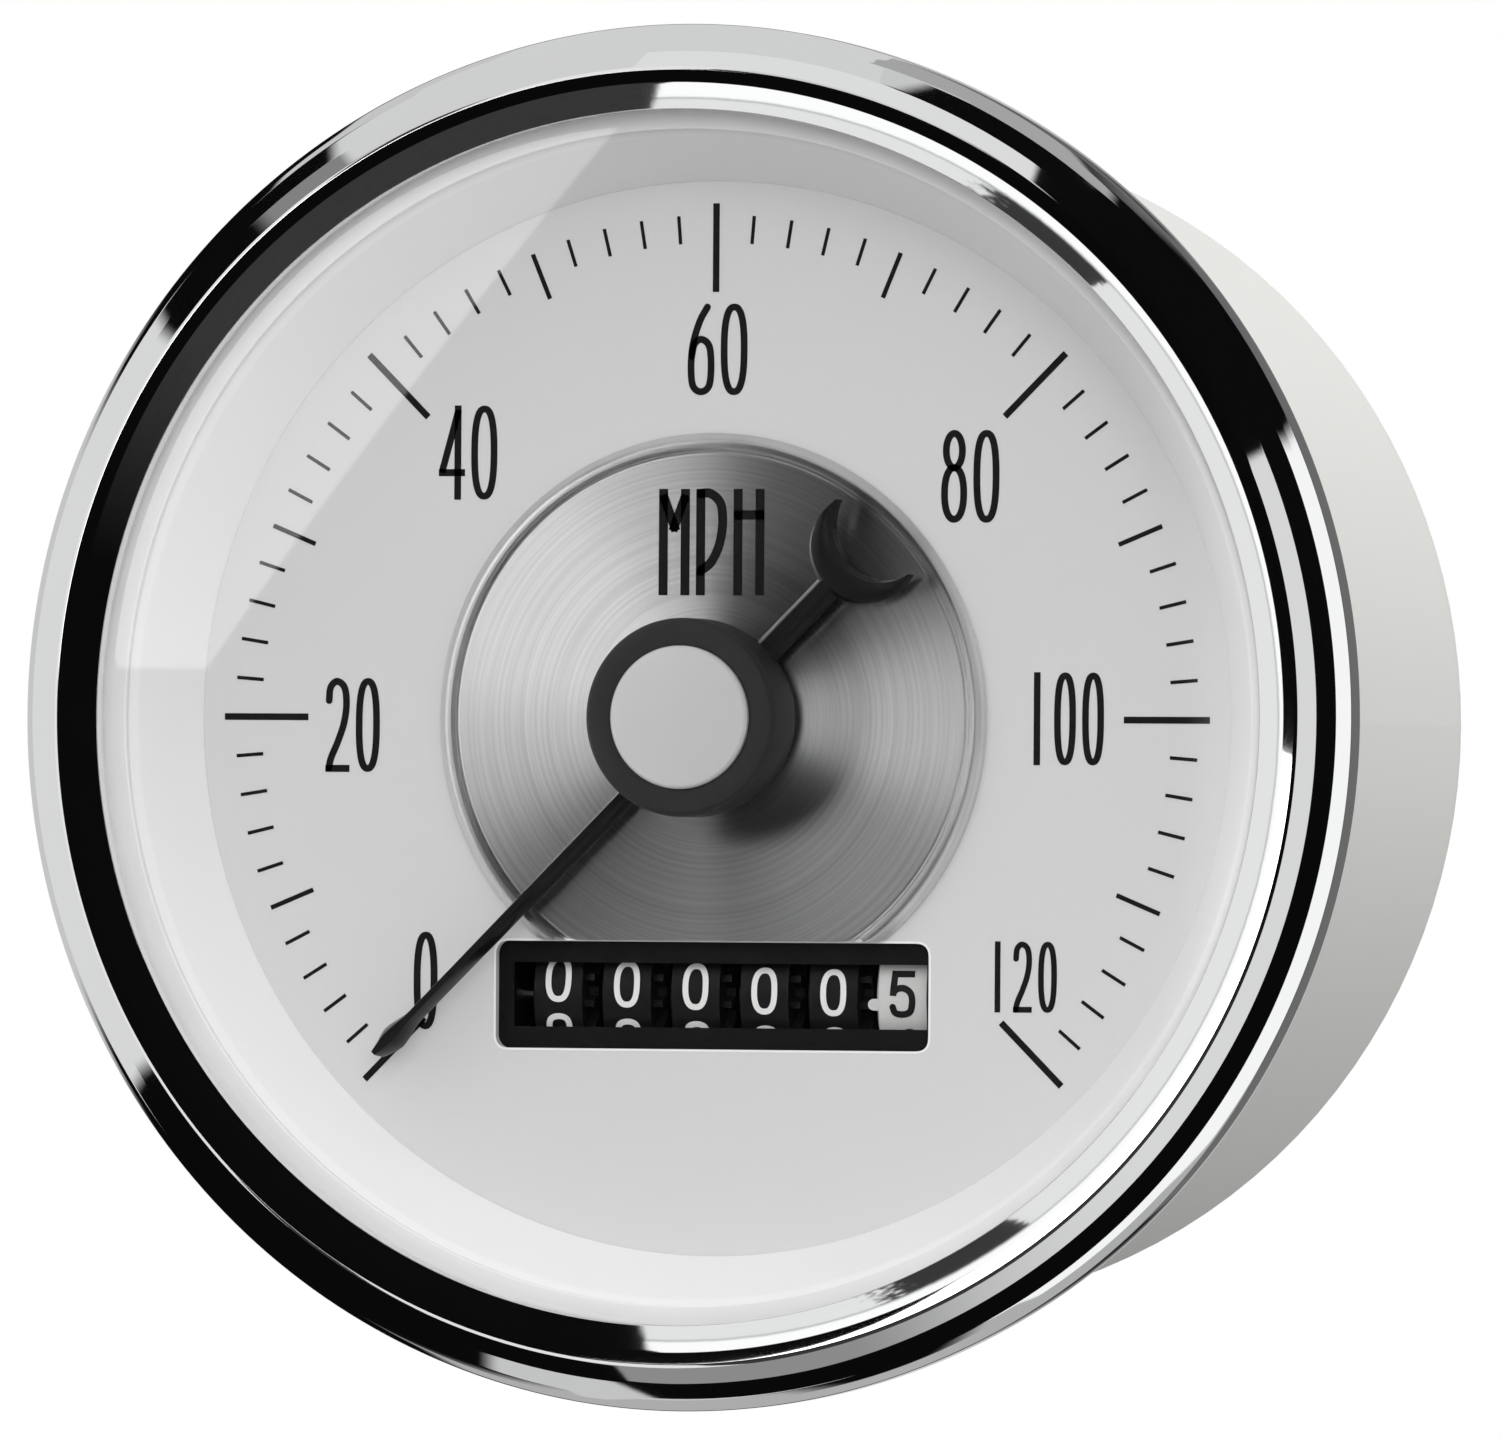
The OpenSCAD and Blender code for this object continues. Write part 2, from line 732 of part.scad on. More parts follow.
// Odometer brackets: sheet sides with holes for the shafts and a bent foot
module bracket_side(x0, outline, foot_x) {
    difference() {
        sheet_x(x0, bracket_t) polygon(outline);
        rod_x(x0 - 1, x0 + bracket_t + 1, odo_y, odo_z, odo_shaft_r);
        rod_x(x0 - 1, x0 + bracket_t + 1, pinion_y, pinion_z, pinion_shaft_r);
        rod_x(x0 - 1, x0 + bracket_t + 1, lay_y, lay_z, small_shaft_r + run_gap);
    }
    translate([foot_x, plate_y - bracket_t, post_z - 3]) cube([foot_w, bracket_t, 5.2]);
}

module odometer_bracket_left() {
    nose_y = mask_back;
    color("darkgray") bracket_side(bracket_left_x, [
        [nose_y, odo_z - 4], [pinion_y - 2, pinion_z - 2], [pinion_y + 2, pinion_z - 2],
        [odo_y + 6, odo_z - 2], [plate_y, post_z - 3], [plate_y, post_z + 2.2],
        [odo_y + 5, odo_z + 4.6], [nose_y, odo_z + 4]
    ], bracket_left_x - foot_w);
}

module odometer_bracket_right() {
    nose_y = mask_back;
    color("darkgray") {
        bracket_side(bracket_right_x, [
            [nose_y, odo_z - 4], [pinion_y - 2, pinion_z - 2], [pinion_y + 2, pinion_z - 2],
            [lay_y, lay_z - 3], [lay_y + 2.6, lay_z - 1], [lay_y + 2.6, lay_z + 2],
            [plate_y, lay_z + 3.6], [plate_y, post_z + 2.2], [odo_y + 5, odo_z + 4.6],
            [nose_y, odo_z + 4]
        ], bracket_right_x + bracket_t);
        rod_x(drive_gear_x - 0.3, bracket_right_x, idler_y, idler_z, small_shaft_r);
    }
}

// Odometer shaft and pinion shaft: plain pins riveted in the brackets
module odometer_shaft() {
    end_x = bracket_right_x + bracket_t;
    color("silver") rod_x(bracket_left_x, end_x, odo_y, odo_z, odo_shaft_r);
}

module pinion_shaft() {
    end_x = bracket_right_x + bracket_t;
    color("silver") rod_x(bracket_left_x, end_x, pinion_y, pinion_z, pinion_shaft_r);
}

// Gear bracket: folded sheet behind the main plate, for the cross shaft and lay shaft
module gear_bracket() {
    tab_half = 2.2;
    tab_back = cross_y + tab_half;
    front_y = lay_y - 3;
    tab_front = cross_y - tab_half;
    tab_l = cross_x + tab_half - side_x;
    foot_l = side_x - 0.6;
    color("darkgray") {
        difference() {
            sheet_x(side_x, side_t) polygon([
                [front_y, lay_z - 2.4], [cross_y - 4, lower_tab_z], [tab_back, lower_tab_z],
                [tab_back, upper_tab_z + tab_t], [plate_back, upper_tab_z + tab_t],
                [plate_back, lay_z + 4.4], [front_y, lay_z + 2.4]
            ]);
            rod_x(side_x - 1, side_x + side_t + 1, lay_y, lay_z, small_shaft_r + run_gap);
        }
        for (z = [lower_tab_z, upper_tab_z])
            difference() {
                translate([side_x + side_t, tab_front, z])
                    cube([tab_l - side_t, tab_back - tab_front, tab_t]);
                translate([cross_x, cross_y, z - 1])
                    cylinder(h = tab_t + 2, r = small_shaft_r + run_gap);
            }
        translate([side_x - foot_l, plate_back, upper_tab_z - 4.6])
            cube([foot_l, bracket_t, 4.6 + tab_t]);
    }
}

// Frame screws: three round-headed screws from the back of the case
module frame_screws() {
    shank_l = 7;
    slot_w = 0.6;
    color("silver") for (p = frame_post_at) {
        rod_y(p, rear_in - shank_l, case_depth + fine, screw_r);
        difference() {
            rod_y(p, case_depth, case_depth + screw_head_t, screw_head_r);
            translate([p[0] - 1.5 * screw_head_r, case_depth + screw_head_t - slot_w, p[1]])
                translate([0, 0, -slot_w / 2]) cube([3 * screw_head_r, 1, slot_w]);
        }
    }
}

// Mounting studs: headed inside the case, threaded behind it
module mounting_studs() {
    shank_r = stud_r + shank_step;
    shank_back = case_depth + washer_t + nut_t + shank_past;
    point = stud_r / 4;
    color("silver") for (sx = [-1, 1])
        translate([sx * stud_spacing / 2, 0, 0]) turned([
            [0, rear_in - stud_head_t],
            [stud_head_r, rear_in - stud_head_t],
            [stud_head_r, rear_in],
            [shank_r, rear_in],
            [shank_r, shank_back],
            [stud_r, shank_back],
            [stud_r, case_depth + stud_out - point],
            [stud_r - point, case_depth + stud_out],
            [0, case_depth + stud_out]
        ]);
}

module stud_washers() {
    color("gainsboro") for (sx = [-1, 1])
        translate([sx * stud_spacing / 2, 0, 0]) turned([
            [stud_r + shank_step, case_depth],
            [washer_r, case_depth],
            [washer_r, case_depth + washer_t],
            [stud_r + shank_step, case_depth + washer_t]
        ]);
}

module stud_nuts() {
    color("silver") for (sx = [-1, 1])
        translate([sx * stud_spacing / 2, case_depth + washer_t, 0]) rotate([-90, 0, 0]) difference() {
            cylinder(h = nut_t, r = stud_nut_r, $fn = 6);
            translate([0, 0, -1]) cylinder(h = nut_t + 2, r = stud_r + shank_step);
        }
}

// Lamp sockets: moulded holders pushed into the back, with two blade contacts each
module lamp_sockets() {
    body_r = lamp_hole_r - rim_gap;
    neck_y = case_depth + lamp_flange_t;
    back = case_depth + socket_out;
    contact_w = 3.2;
    contact_t = 0.8;
    color("#303030") for (sx = [-1, 1]) {
        translate([sx * lamp_x, 0, lamp_z]) turned([
            [bulb_base_r + fine, rear_in - bulb_base_l / 2],
            [body_r, rear_in - bulb_base_l / 2],
            [body_r, case_depth],
            [lamp_flange_r, case_depth],
            [lamp_flange_r, neck_y],
            [body_r + rim_gap, neck_y + 0.6],
            [body_r - rim_gap, back - 0.6],
            [body_r - 0.8, back],
            [0, back],
            [0, rear_in],
            [bulb_base_r + fine, rear_in]
        ]);
        for (s = [-1, 1])
            translate([sx * lamp_x + s * 0.4 * body_r - contact_t / 2, back, lamp_z - contact_w / 2])
                cube([contact_t, contact_l, contact_w]);
    }
}

// Lamp bulbs: wedge-base glass bulbs
module lamp_bulbs() {
    front = rear_in - bulb_l;
    neck_y = rear_in - bulb_base_l;
    shoulder = bulb_r - bulb_base_r;
    color("lightyellow", 0.6) for (sx = [-1, 1])
        translate([sx * lamp_x, 0, lamp_z]) turned(concat(
            [for (i = [0 : 6]) [bulb_r * sin(15 * i), front + bulb_r - bulb_r * cos(15 * i)]],
            [[bulb_r, neck_y], [bulb_base_r, neck_y + shoulder], [bulb_base_r, rear_in], [0, rear_in]]
        ));
}

// Pointer blade: moulded blade with a ridge, a leaf tip and a crescent on its tail
module pointer_blade() {
    leaf_from = blade_reach - 2 * leaf_w;
    leaf_mid = blade_reach - 0.8 * leaf_w;
    tip_w = leaf_w / 2;
    crescent_at = hub_r + 2.4 * crescent_r;
    bite_r = crescent_r + 0.25;
    bite_at = crescent_at + 0.77 * crescent_r;
    color("#181818") rotate([0, zero_angle, 0]) sheet_y(blade_front, blade_t) difference() {
        union() {
            polygon([
                [blade_w / 2 + 0.05, 3], [blade_w / 2, leaf_from], [leaf_w / 2, leaf_mid],
                [tip_w / 2, blade_reach], [-tip_w / 2, blade_reach], [-leaf_w / 2, leaf_mid],
                [-blade_w / 2, leaf_from], [-blade_w / 2 - 0.05, 3]
            ]);
            translate([-tail_w / 2, crescent_r - crescent_at - 1])
                square([tail_w, crescent_at - crescent_r - 2]);
            difference() {
                translate([0, -crescent_at]) circle(crescent_r);
                translate([0, -bite_at]) circle(bite_r);
            }
            circle(hub_r - 0.2);
        }
        circle(staff_r);
    }
}

// Pointer hub: black moulding over the blade, with a recess for its cap
module pointer_hub() {
    edge = 0.25;
    color("#202020") turned([
        [staff_r, hub_front + cap_sink],
        [cap_r, hub_front + cap_sink],
        [cap_r, hub_front],
        [hub_r - edge, hub_front],
        [hub_r, hub_front + edge],
        [hub_r, blade_front],
        [staff_r, blade_front]
    ]);
}

// Hub cap: flat metal disc in the hub
module hub_cap() {
    color("silver") turned([
        [0, hub_front - cap_rise],
        [cap_r - 0.15, hub_front - cap_rise],
        [cap_r, hub_front - cap_rise + 0.15],
        [cap_r, hub_front + cap_sink],
        [0, hub_front + cap_sink]
    ]);
}

// Pointer spindle: steel staff from the hub to its pivot in the drive spindle
module pointer_spindle() {
    step_y = magnet_front - 0.6;
    color("silver") turned([
        [0, hub_front + cap_sink],
        [staff_r, hub_front + cap_sink],
        [staff_r, step_y],
        [pivot_r, step_y + 0.2],
        [pivot_r, spindle_front + pivot_bore_l - 0.5],
        [0, spindle_front + pivot_bore_l - 0.2]
    ]);
}

// Speed cup: thin aluminium cup on a brass boss, dragged round by the magnet
module speed_cup() {
    color("lightgray") turned([
        [staff_r, cup_front - 0.9],
        [1.7, cup_front - 0.9],
        [1.7, cup_front],
        [cup_out_r - 0.4, cup_front],
        [cup_out_r, cup_front + 0.4],
        [cup_out_r, cup_back],
        [cup_in_r, cup_back],
        [cup_in_r, cup_front + cup_floor_t],
        [staff_r, cup_front + cup_floor_t]
    ]);
}

// Hairspring collet: small ring on the staff
module hairspring_collet() {
    color("goldenrod") turned([
        [staff_r, bridge_back + 0.5],
        [1.6, bridge_back + 0.5],
        [1.6, bridge_back + 1.6],
        [staff_r, bridge_back + 1.6]
    ]);
}

// Stop arm: pressed on the staff in front of the bridge
module stop_arm() {
    arm_y = bridge_y - 2.6;
    color("silver") rotate([0, zero_angle, 0]) sheet_y(arm_y, 0.8) difference() {
        union() {
            circle(1.6);
            translate([-0.5, 0]) square([1, 5.4]);
        }
        circle(staff_r);
    }
}

// Drive spindle: turned shaft with the magnet's seat, the first worm and a square socket
module drive_spindle() {
    socket_l = 7;
    worm_start = cross_y - worm1_l / 2;
    color("silver") difference() {
        union() {
            rod_y([0, 0], spindle_front, worm_start, spindle_r);
            translate([0, cross_y, 0]) rotate([-90, 0, 0]) worm(first_m, first_r, worm1_l, 1);
            rod_y([0, 0], cross_y + worm1_l / 2, spindle_back, journal_r);
        }
        rod_y([0, 0], spindle_front - 1, spindle_front + pivot_bore_l, pivot_r + run_gap);
        translate([-drive_square / 2, spindle_back - socket_l, -drive_square / 2])
            cube([drive_square, socket_l + 1, drive_square]);
    }
}

// Magnet: sintered ring on the drive spindle
module magnet() {
    color("dimgray") turned([
        [spindle_r, magnet_front],
        [magnet_r - 0.4, magnet_front],
        [magnet_r, magnet_front + 0.4],
        [magnet_r, magnet_front + magnet_t],
        [spindle_r, magnet_front + magnet_t]
    ]);
}

// Cross shaft: upright shaft with the second worm
module cross_shaft() {
    color("silver") translate([cross_x, cross_y, 0]) {
        translate([0, 0, cross_bottom]) cylinder(h = lay_z - worm2_l / 2 - cross_bottom, r = small_shaft_r);
        translate([0, 0, lay_z]) rotate(-90) worm(second_m, second_r, worm2_l, -1);
        translate([0, 0, lay_z + worm2_l / 2])
            cylinder(h = cross_top - lay_z - worm2_l / 2, r = small_shaft_r);
    }
}

// Cross wheel: worm wheel driven by the first worm, one tooth in the worm's gap
module cross_wheel() {
    color("peru") translate([cross_x, cross_y, -cross_wheel_w / 2])
        linear_extrude(cross_wheel_w) difference() {
            rotate(180) gear_outline(cross_teeth, first_m, 0.36);
            circle(small_shaft_r);
        }
}

// Lay shaft: level shaft with the pinion that drives the idler
module lay_shaft() {
    // direction from the lay shaft to the idler, in the [y, z] plane
    to_idler = atan2(idler_z - lay_z, idler_y - lay_y);
    color("silver") {
        rod_x(side_x, bracket_right_x + bracket_t, lay_y, lay_z, small_shaft_r);
        gear_x(drive_gear_x, drive_gear_w, lay_y, lay_z, drive_teeth, gear_m, small_shaft_r, to_idler);
    }
}

// Lay wheel: worm wheel driven by the second worm
module lay_wheel() {
    color("peru") translate([cross_x - lay_wheel_w / 2, 0, 0])
        gear_x(0, lay_wheel_w, lay_y, lay_z, lay_teeth, second_m, small_shaft_r, 0);
}

// Idler gear: between the lay pinion and the odometer's drive gear
module idler_gear() {
    to_lay = atan2(lay_z - idler_z, lay_y - idler_y);
    color("ivory") gear_x(drive_gear_x, drive_gear_w, idler_y, idler_z, idler_teeth, gear_m,
        small_shaft_r + run_gap, to_lay + 180 / idler_teeth);
}

// A number wheel: printed rim, a toothed ring on its right side and a two-tooth driver on its left
module number_wheel(index) {
    x = first_wheel_x + index * wheel_pitch;
    bore = odo_shaft_r + run_gap;
    // a ring tooth gap faces the pinion
    to_pinion = atan2(pinion_z - odo_z, pinion_y - odo_y);
    driver_r = ring_pitch_r - 1.15 * ring_m;
    rim_l = x - wheel_w / 2;
    difference() {
        union() {
            rod_x(rim_l, rim_l + wheel_w, odo_y, odo_z, wheel_r);
            rod_x(rim_l - driver_w, rim_l, odo_y, odo_z, driver_r);
        }
        rod_x(rim_l - 3, rim_l + wheel_w + 1, odo_y, odo_z, bore);
    }
    if (index < wheel_count - 1)
        gear_x(rim_l + wheel_w, ring_w, odo_y, odo_z, ring_teeth, ring_m, bore,
            to_pinion + 180 / ring_teeth);
}

module wheel_tenths() {
    to_idler = atan2(idler_z - odo_z, idler_y - odo_y);
    hub_x = last_wheel_x + wheel_w / 2;
    color("whitesmoke") {
        number_wheel(5);
        difference() {
            rod_x(hub_x, drive_gear_x, odo_y, odo_z, 2.4);
            rod_x(hub_x - 1, drive_gear_x + 1, odo_y, odo_z, odo_shaft_r + run_gap);
        }
        gear_x(drive_gear_x, drive_gear_w, odo_y, odo_z, drive_teeth, gear_m,
            odo_shaft_r + run_gap, to_idler + 180 / drive_teeth);
    }
}

module wheel_ones() {
    color("#202020") number_wheel(4);
}

module wheel_tens() {
    color("#202020") number_wheel(3);
}

module wheel_hundreds() {
    color("#202020") number_wheel(2);
}

module wheel_thousands() {
    color("#202020") number_wheel(1);
}

module wheel_ten_thousands() {
    color("#202020") number_wheel(0);
}

// A carry pinion: eight teeth, in the groove to the right of a number wheel
module carry_pinion(index) {
    x = first_wheel_x + index * wheel_pitch + wheel_w / 2;
    w = wheel_pitch - wheel_w;
    side_gap = 0.12;
    to_wheel = atan2(odo_z - pinion_z, odo_y - pinion_y);
    color("ivory") gear_x(x + side_gap, w - 2 * side_gap, pinion_y, pinion_z, pinion_teeth, ring_m,
        pinion_shaft_r + run_gap, to_wheel);
}

module pinion_ones() {
    carry_pinion(4);
}

module pinion_tens() {
    carry_pinion(3);
}

module pinion_hundreds() {
    carry_pinion(2);
}

module pinion_thousands() {
    carry_pinion(1);
}

module pinion_ten_thousands() {
    carry_pinion(0);
}

bezel();
lens();
lens_gasket();
spacer_ring();
dial_plate();
centre_disc();
odometer_mask();
case_shell();
main_frame();
front_bridge();
bridge_pillars();
inner_screws();
jewel_bearing();
hairspring();
hairspring_stud();
stop_pins();
field_cup();
spindle_bushes();
cable_stem();
stem_nut();
odometer_bracket_left();
odometer_bracket_right();
odometer_shaft();
pinion_shaft();
gear_bracket();
frame_screws();
mounting_studs();
stud_washers();
stud_nuts();
lamp_sockets();
lamp_bulbs();
pointer_blade();
pointer_hub();
hub_cap();
pointer_spindle();
speed_cup();
hairspring_collet();
stop_arm();
drive_spindle();
magnet();
cross_shaft();
cross_wheel();
lay_shaft();
lay_wheel();
idler_gear();
wheel_tenths();
wheel_ones();
wheel_tens();
wheel_hundreds();
wheel_thousands();
wheel_ten_thousands();
pinion_ones();
pinion_tens();
pinion_hundreds();
pinion_thousands();
pinion_ten_thousands();
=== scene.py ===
"""Looks of a dashboard speedometer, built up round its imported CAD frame.

The file follows the gauge as it is put together: the case and what goes through its back, the cast frame
and the speed mechanism, the gear train and the odometer, the dial, the pointer, and last the glass under
its bezel. Lengths are in millimetres in the CAD frame: x to the driver's right, y into the gauge from the
bezel's rear face, z up. The surfaces become metres as they are made.
"""

import bmesh
import bpy
import numpy as np
from mathutils import Matrix, Vector


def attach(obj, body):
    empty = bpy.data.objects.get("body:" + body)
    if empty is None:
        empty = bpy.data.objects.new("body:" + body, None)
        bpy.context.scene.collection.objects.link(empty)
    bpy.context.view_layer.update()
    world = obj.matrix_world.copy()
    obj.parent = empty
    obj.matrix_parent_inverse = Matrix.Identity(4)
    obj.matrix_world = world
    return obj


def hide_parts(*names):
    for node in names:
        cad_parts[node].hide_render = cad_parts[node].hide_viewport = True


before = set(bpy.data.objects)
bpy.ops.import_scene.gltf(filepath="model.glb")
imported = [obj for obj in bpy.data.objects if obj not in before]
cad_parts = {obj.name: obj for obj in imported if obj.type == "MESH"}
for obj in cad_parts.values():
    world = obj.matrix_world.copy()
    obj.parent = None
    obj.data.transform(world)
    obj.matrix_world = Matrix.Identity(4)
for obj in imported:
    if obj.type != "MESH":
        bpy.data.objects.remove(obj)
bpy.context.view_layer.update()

# Camera: a long lens, a metre in front of the dial and 17 degrees to its right, a hair below the axis and
# leaning by less than half a degree. It aims just beside the dial's middle, as the photograph does.
mm = 0.001
camera_azimuth = 17.14
camera_right, camera_up, camera_lean = np.radians([camera_azimuth, -0.476, 0.376])
camera_distance = 1084.8
pixels_per_mm = 16.094
photo_width, photo_height = 1500, 1439
dial_middle_px = (715.8, 718.5)
dial_face = 3.5

focal_px = pixels_per_mm * camera_distance
ahead = np.array([
    -np.sin(camera_right) * np.cos(camera_up),
    np.cos(camera_right) * np.cos(camera_up),
    -np.sin(camera_up),
])
level = np.array([np.cos(camera_right), np.sin(camera_right), 0.0])
upright = np.cross(level, ahead)
side = np.cos(camera_lean) * level + np.sin(camera_lean) * upright
top = np.cos(camera_lean) * upright - np.sin(camera_lean) * level
eye = np.array([0.0, dial_face, 0.0]) - camera_distance * ahead
aim = ahead + side * (photo_width / 2 - dial_middle_px[0]) / focal_px
aim = aim - top * (photo_height / 2 - dial_middle_px[1]) / focal_px
aim = aim / np.linalg.norm(aim)
side = side - aim * (side @ aim)
side = side / np.linalg.norm(side)
top = np.cross(side, aim)

film_width = 36
camera = bpy.data.objects.new("camera", bpy.data.cameras.new("camera"))
camera.data.sensor_width = film_width
camera.data.lens = focal_px * film_width / photo_width
camera.data.clip_start, camera.data.clip_end = 0.05, 20
camera.matrix_world = Matrix([
    [side[0], top[0], -aim[0], eye[0] * mm],
    [side[1], top[1], -aim[1], eye[1] * mm],
    [side[2], top[2], -aim[2], eye[2] * mm],
    [0, 0, 0, 1],
])
bpy.context.scene.collection.objects.link(camera)
bpy.context.scene.camera = camera
bpy.context.scene.view_settings.view_transform = "Standard"


# Studio: an even white room with light panels and dark cards round the gauge. Only mirrors see the panels
# and cards, a matt surface sees even light and three lamps, and the lens of the camera sees plain white.
def node(tree, kind, inputs=None, **settings):
    """Adds a node; each input is given a value, or a socket that it is linked to."""
    made = tree.nodes.new(kind)
    for key, value in settings.items():
        setattr(made, key, value)
    for key, value in (inputs or {}).items():
        if isinstance(value, bpy.types.NodeSocket):
            tree.links.new(value, made.inputs[key])
        else:
            made.inputs[key].default_value = value
    return made


def maths(tree, operation, a, b=0.0, c=0.0):
    """One step of arithmetic on values or sockets; gives the socket of its result."""
    return node(tree, "ShaderNodeMath", {0: a, 1: b, 2: c}, operation=operation).outputs[0]


def product(tree, first, *others):
    """The product of values or sockets."""
    for factor in others:
        first = maths(tree, "MULTIPLY", first, factor)
    return first


def group(name, takes, gives):
    """An empty node group with named float sockets, with its two end nodes."""
    tree = bpy.data.node_groups.new(name, "ShaderNodeTree")
    for in_out, labels in (("INPUT", takes), ("OUTPUT", gives)):
        for label in labels:
            tree.interface.new_socket(name=label, in_out=in_out, socket_type="NodeSocketFloat")
    return tree, tree.nodes.new("NodeGroupInput"), tree.nodes.new("NodeGroupOutput")


def grouped(tree, shared, inputs):
    """A node group put into a tree, with a value or a socket for each input; gives its outputs."""
    return node(tree, "ShaderNodeGroup", node_tree=shared, inputs=inputs).outputs


panel_inputs = ["Across", "Upwards", "Left", "Right", "Low", "High", "Soft"]
panel_group, given, result = group("light_panel", panel_inputs, ["Mask"])
edges = []
for angle, limit, rises in (
    ("Across", "Left", 1.0), ("Across", "Right", 0.0), ("Upwards", "Low", 1.0), ("Upwards", "High", 0.0)
):
    soft_low = maths(panel_group, "SUBTRACT", given.outputs[limit], given.outputs["Soft"])
    soft_high = maths(panel_group, "ADD", given.outputs[limit], given.outputs["Soft"])
    ends = {0: given.outputs[angle], 1: soft_low, 2: soft_high, 3: 1.0 - rises, 4: rises}
    edges.append(node(panel_group, "ShaderNodeMapRange", ends, interpolation_type="SMOOTHSTEP").outputs[0])
panel_group.links.new(product(panel_group, *edges), result.inputs["Mask"])

world = bpy.data.worlds.new("studio")
bpy.context.scene.world = world
world.use_nodes = True
sky = world.node_tree
sky.nodes.clear()
direction_vector = node(sky, "ShaderNodeTexCoord").outputs["Generated"]
direction = node(sky, "ShaderNodeSeparateXYZ", {0: direction_vector})
to_degrees = 180 / np.pi
towards_viewer = maths(sky, "MULTIPLY", direction.outputs[1], -1.0)
azimuth = product(sky, maths(sky, "ARCTAN2", direction.outputs[0], towards_viewer), to_degrees)
elevation = product(sky, maths(sky, "ARCSINE", direction.outputs[2]), to_degrees)
# the big soft box's inner edge leans outwards as it goes down
leaning = maths(sky, "MULTIPLY_ADD", elevation, -0.77, azimuth)
# Distance and turn, in degrees, from the direction that the flat dial mirrors. Round it lie a wedge of light
# on each side, and beyond these a ring, half light with ragged patches and half dark, for the inner slope.
off_axis = maths(sky, "ADD", azimuth, camera_azimuth)
slope = maths(sky, "DIVIDE", elevation, off_axis)
squares = maths(sky, "ADD", maths(sky, "POWER", off_axis, 2.0), maths(sky, "POWER", elevation, 2.0))
off_mirror = maths(sky, "SQRT", squares)
turn = product(sky, maths(sky, "ARCTAN2", elevation, off_axis), to_degrees)
turn_both = maths(sky, "ABSOLUTE", turn)


def ramp(value, low, high):
    """A smooth rise from 0 to 1 as the value goes from low to high; it falls where low is above high."""
    ends = {0: value, 1: min(low, high), 2: max(low, high), 3: float(low > high), 4: float(low <= high)}
    return node(sky, "ShaderNodeMapRange", ends, interpolation_type="SMOOTHSTEP").outputs[0]


path = node(sky, "ShaderNodeLightPath").outputs
# the wedges show only after three bounces, so in what lies behind the glass and not in the glass itself
behind_glass = maths(sky, "GREATER_THAN", path["Ray Depth"], 2.5)
ring_near, ring_middle, ring_far, dark_turn, all_round = 24.5, 34, 61, 94, 190
near = ramp(off_mirror, ring_near, ring_near - 1.0)
apart = product(sky, ramp(off_mirror, 15.5, 17.0), near)
wedge = product(sky, ramp(slope, -0.50, -0.14), ramp(slope, 0.62, 0.20), behind_glass, apart)
cloud_noise = {"Vector": direction_vector, "Scale": 90.0, "Detail": 6.0, "Roughness": 0.7}
cloud = node(sky, "ShaderNodeTexNoise", cloud_noise).outputs["Fac"]
upper_patch = product(sky, ramp(turn, -124.0, -139.0), ramp(turn, -145.0, -143.5))
lower_patch = product(sky, ramp(turn, 112.0, 129.0), ramp(turn, 135.5, 134.0))
shaded = maths(sky, "MULTIPLY_ADD", cloud, 1.6, maths(sky, "MAXIMUM", upper_patch, lower_patch))
patched = maths(sky, "MULTIPLY_ADD", ramp(shaded, 1.20, 1.42), -0.95, 1.0)
clouded = product(sky, maths(sky, "MULTIPLY_ADD", cloud, 0.4, 0.6), ramp(turn, -8.0, -40.0))
fading = maths(sky, "MULTIPLY_ADD", ramp(turn, -80.0, -35.0), 0.62, 0.38)
far_left = ramp(azimuth, -50.0, -55.0)
everywhere = 1.0
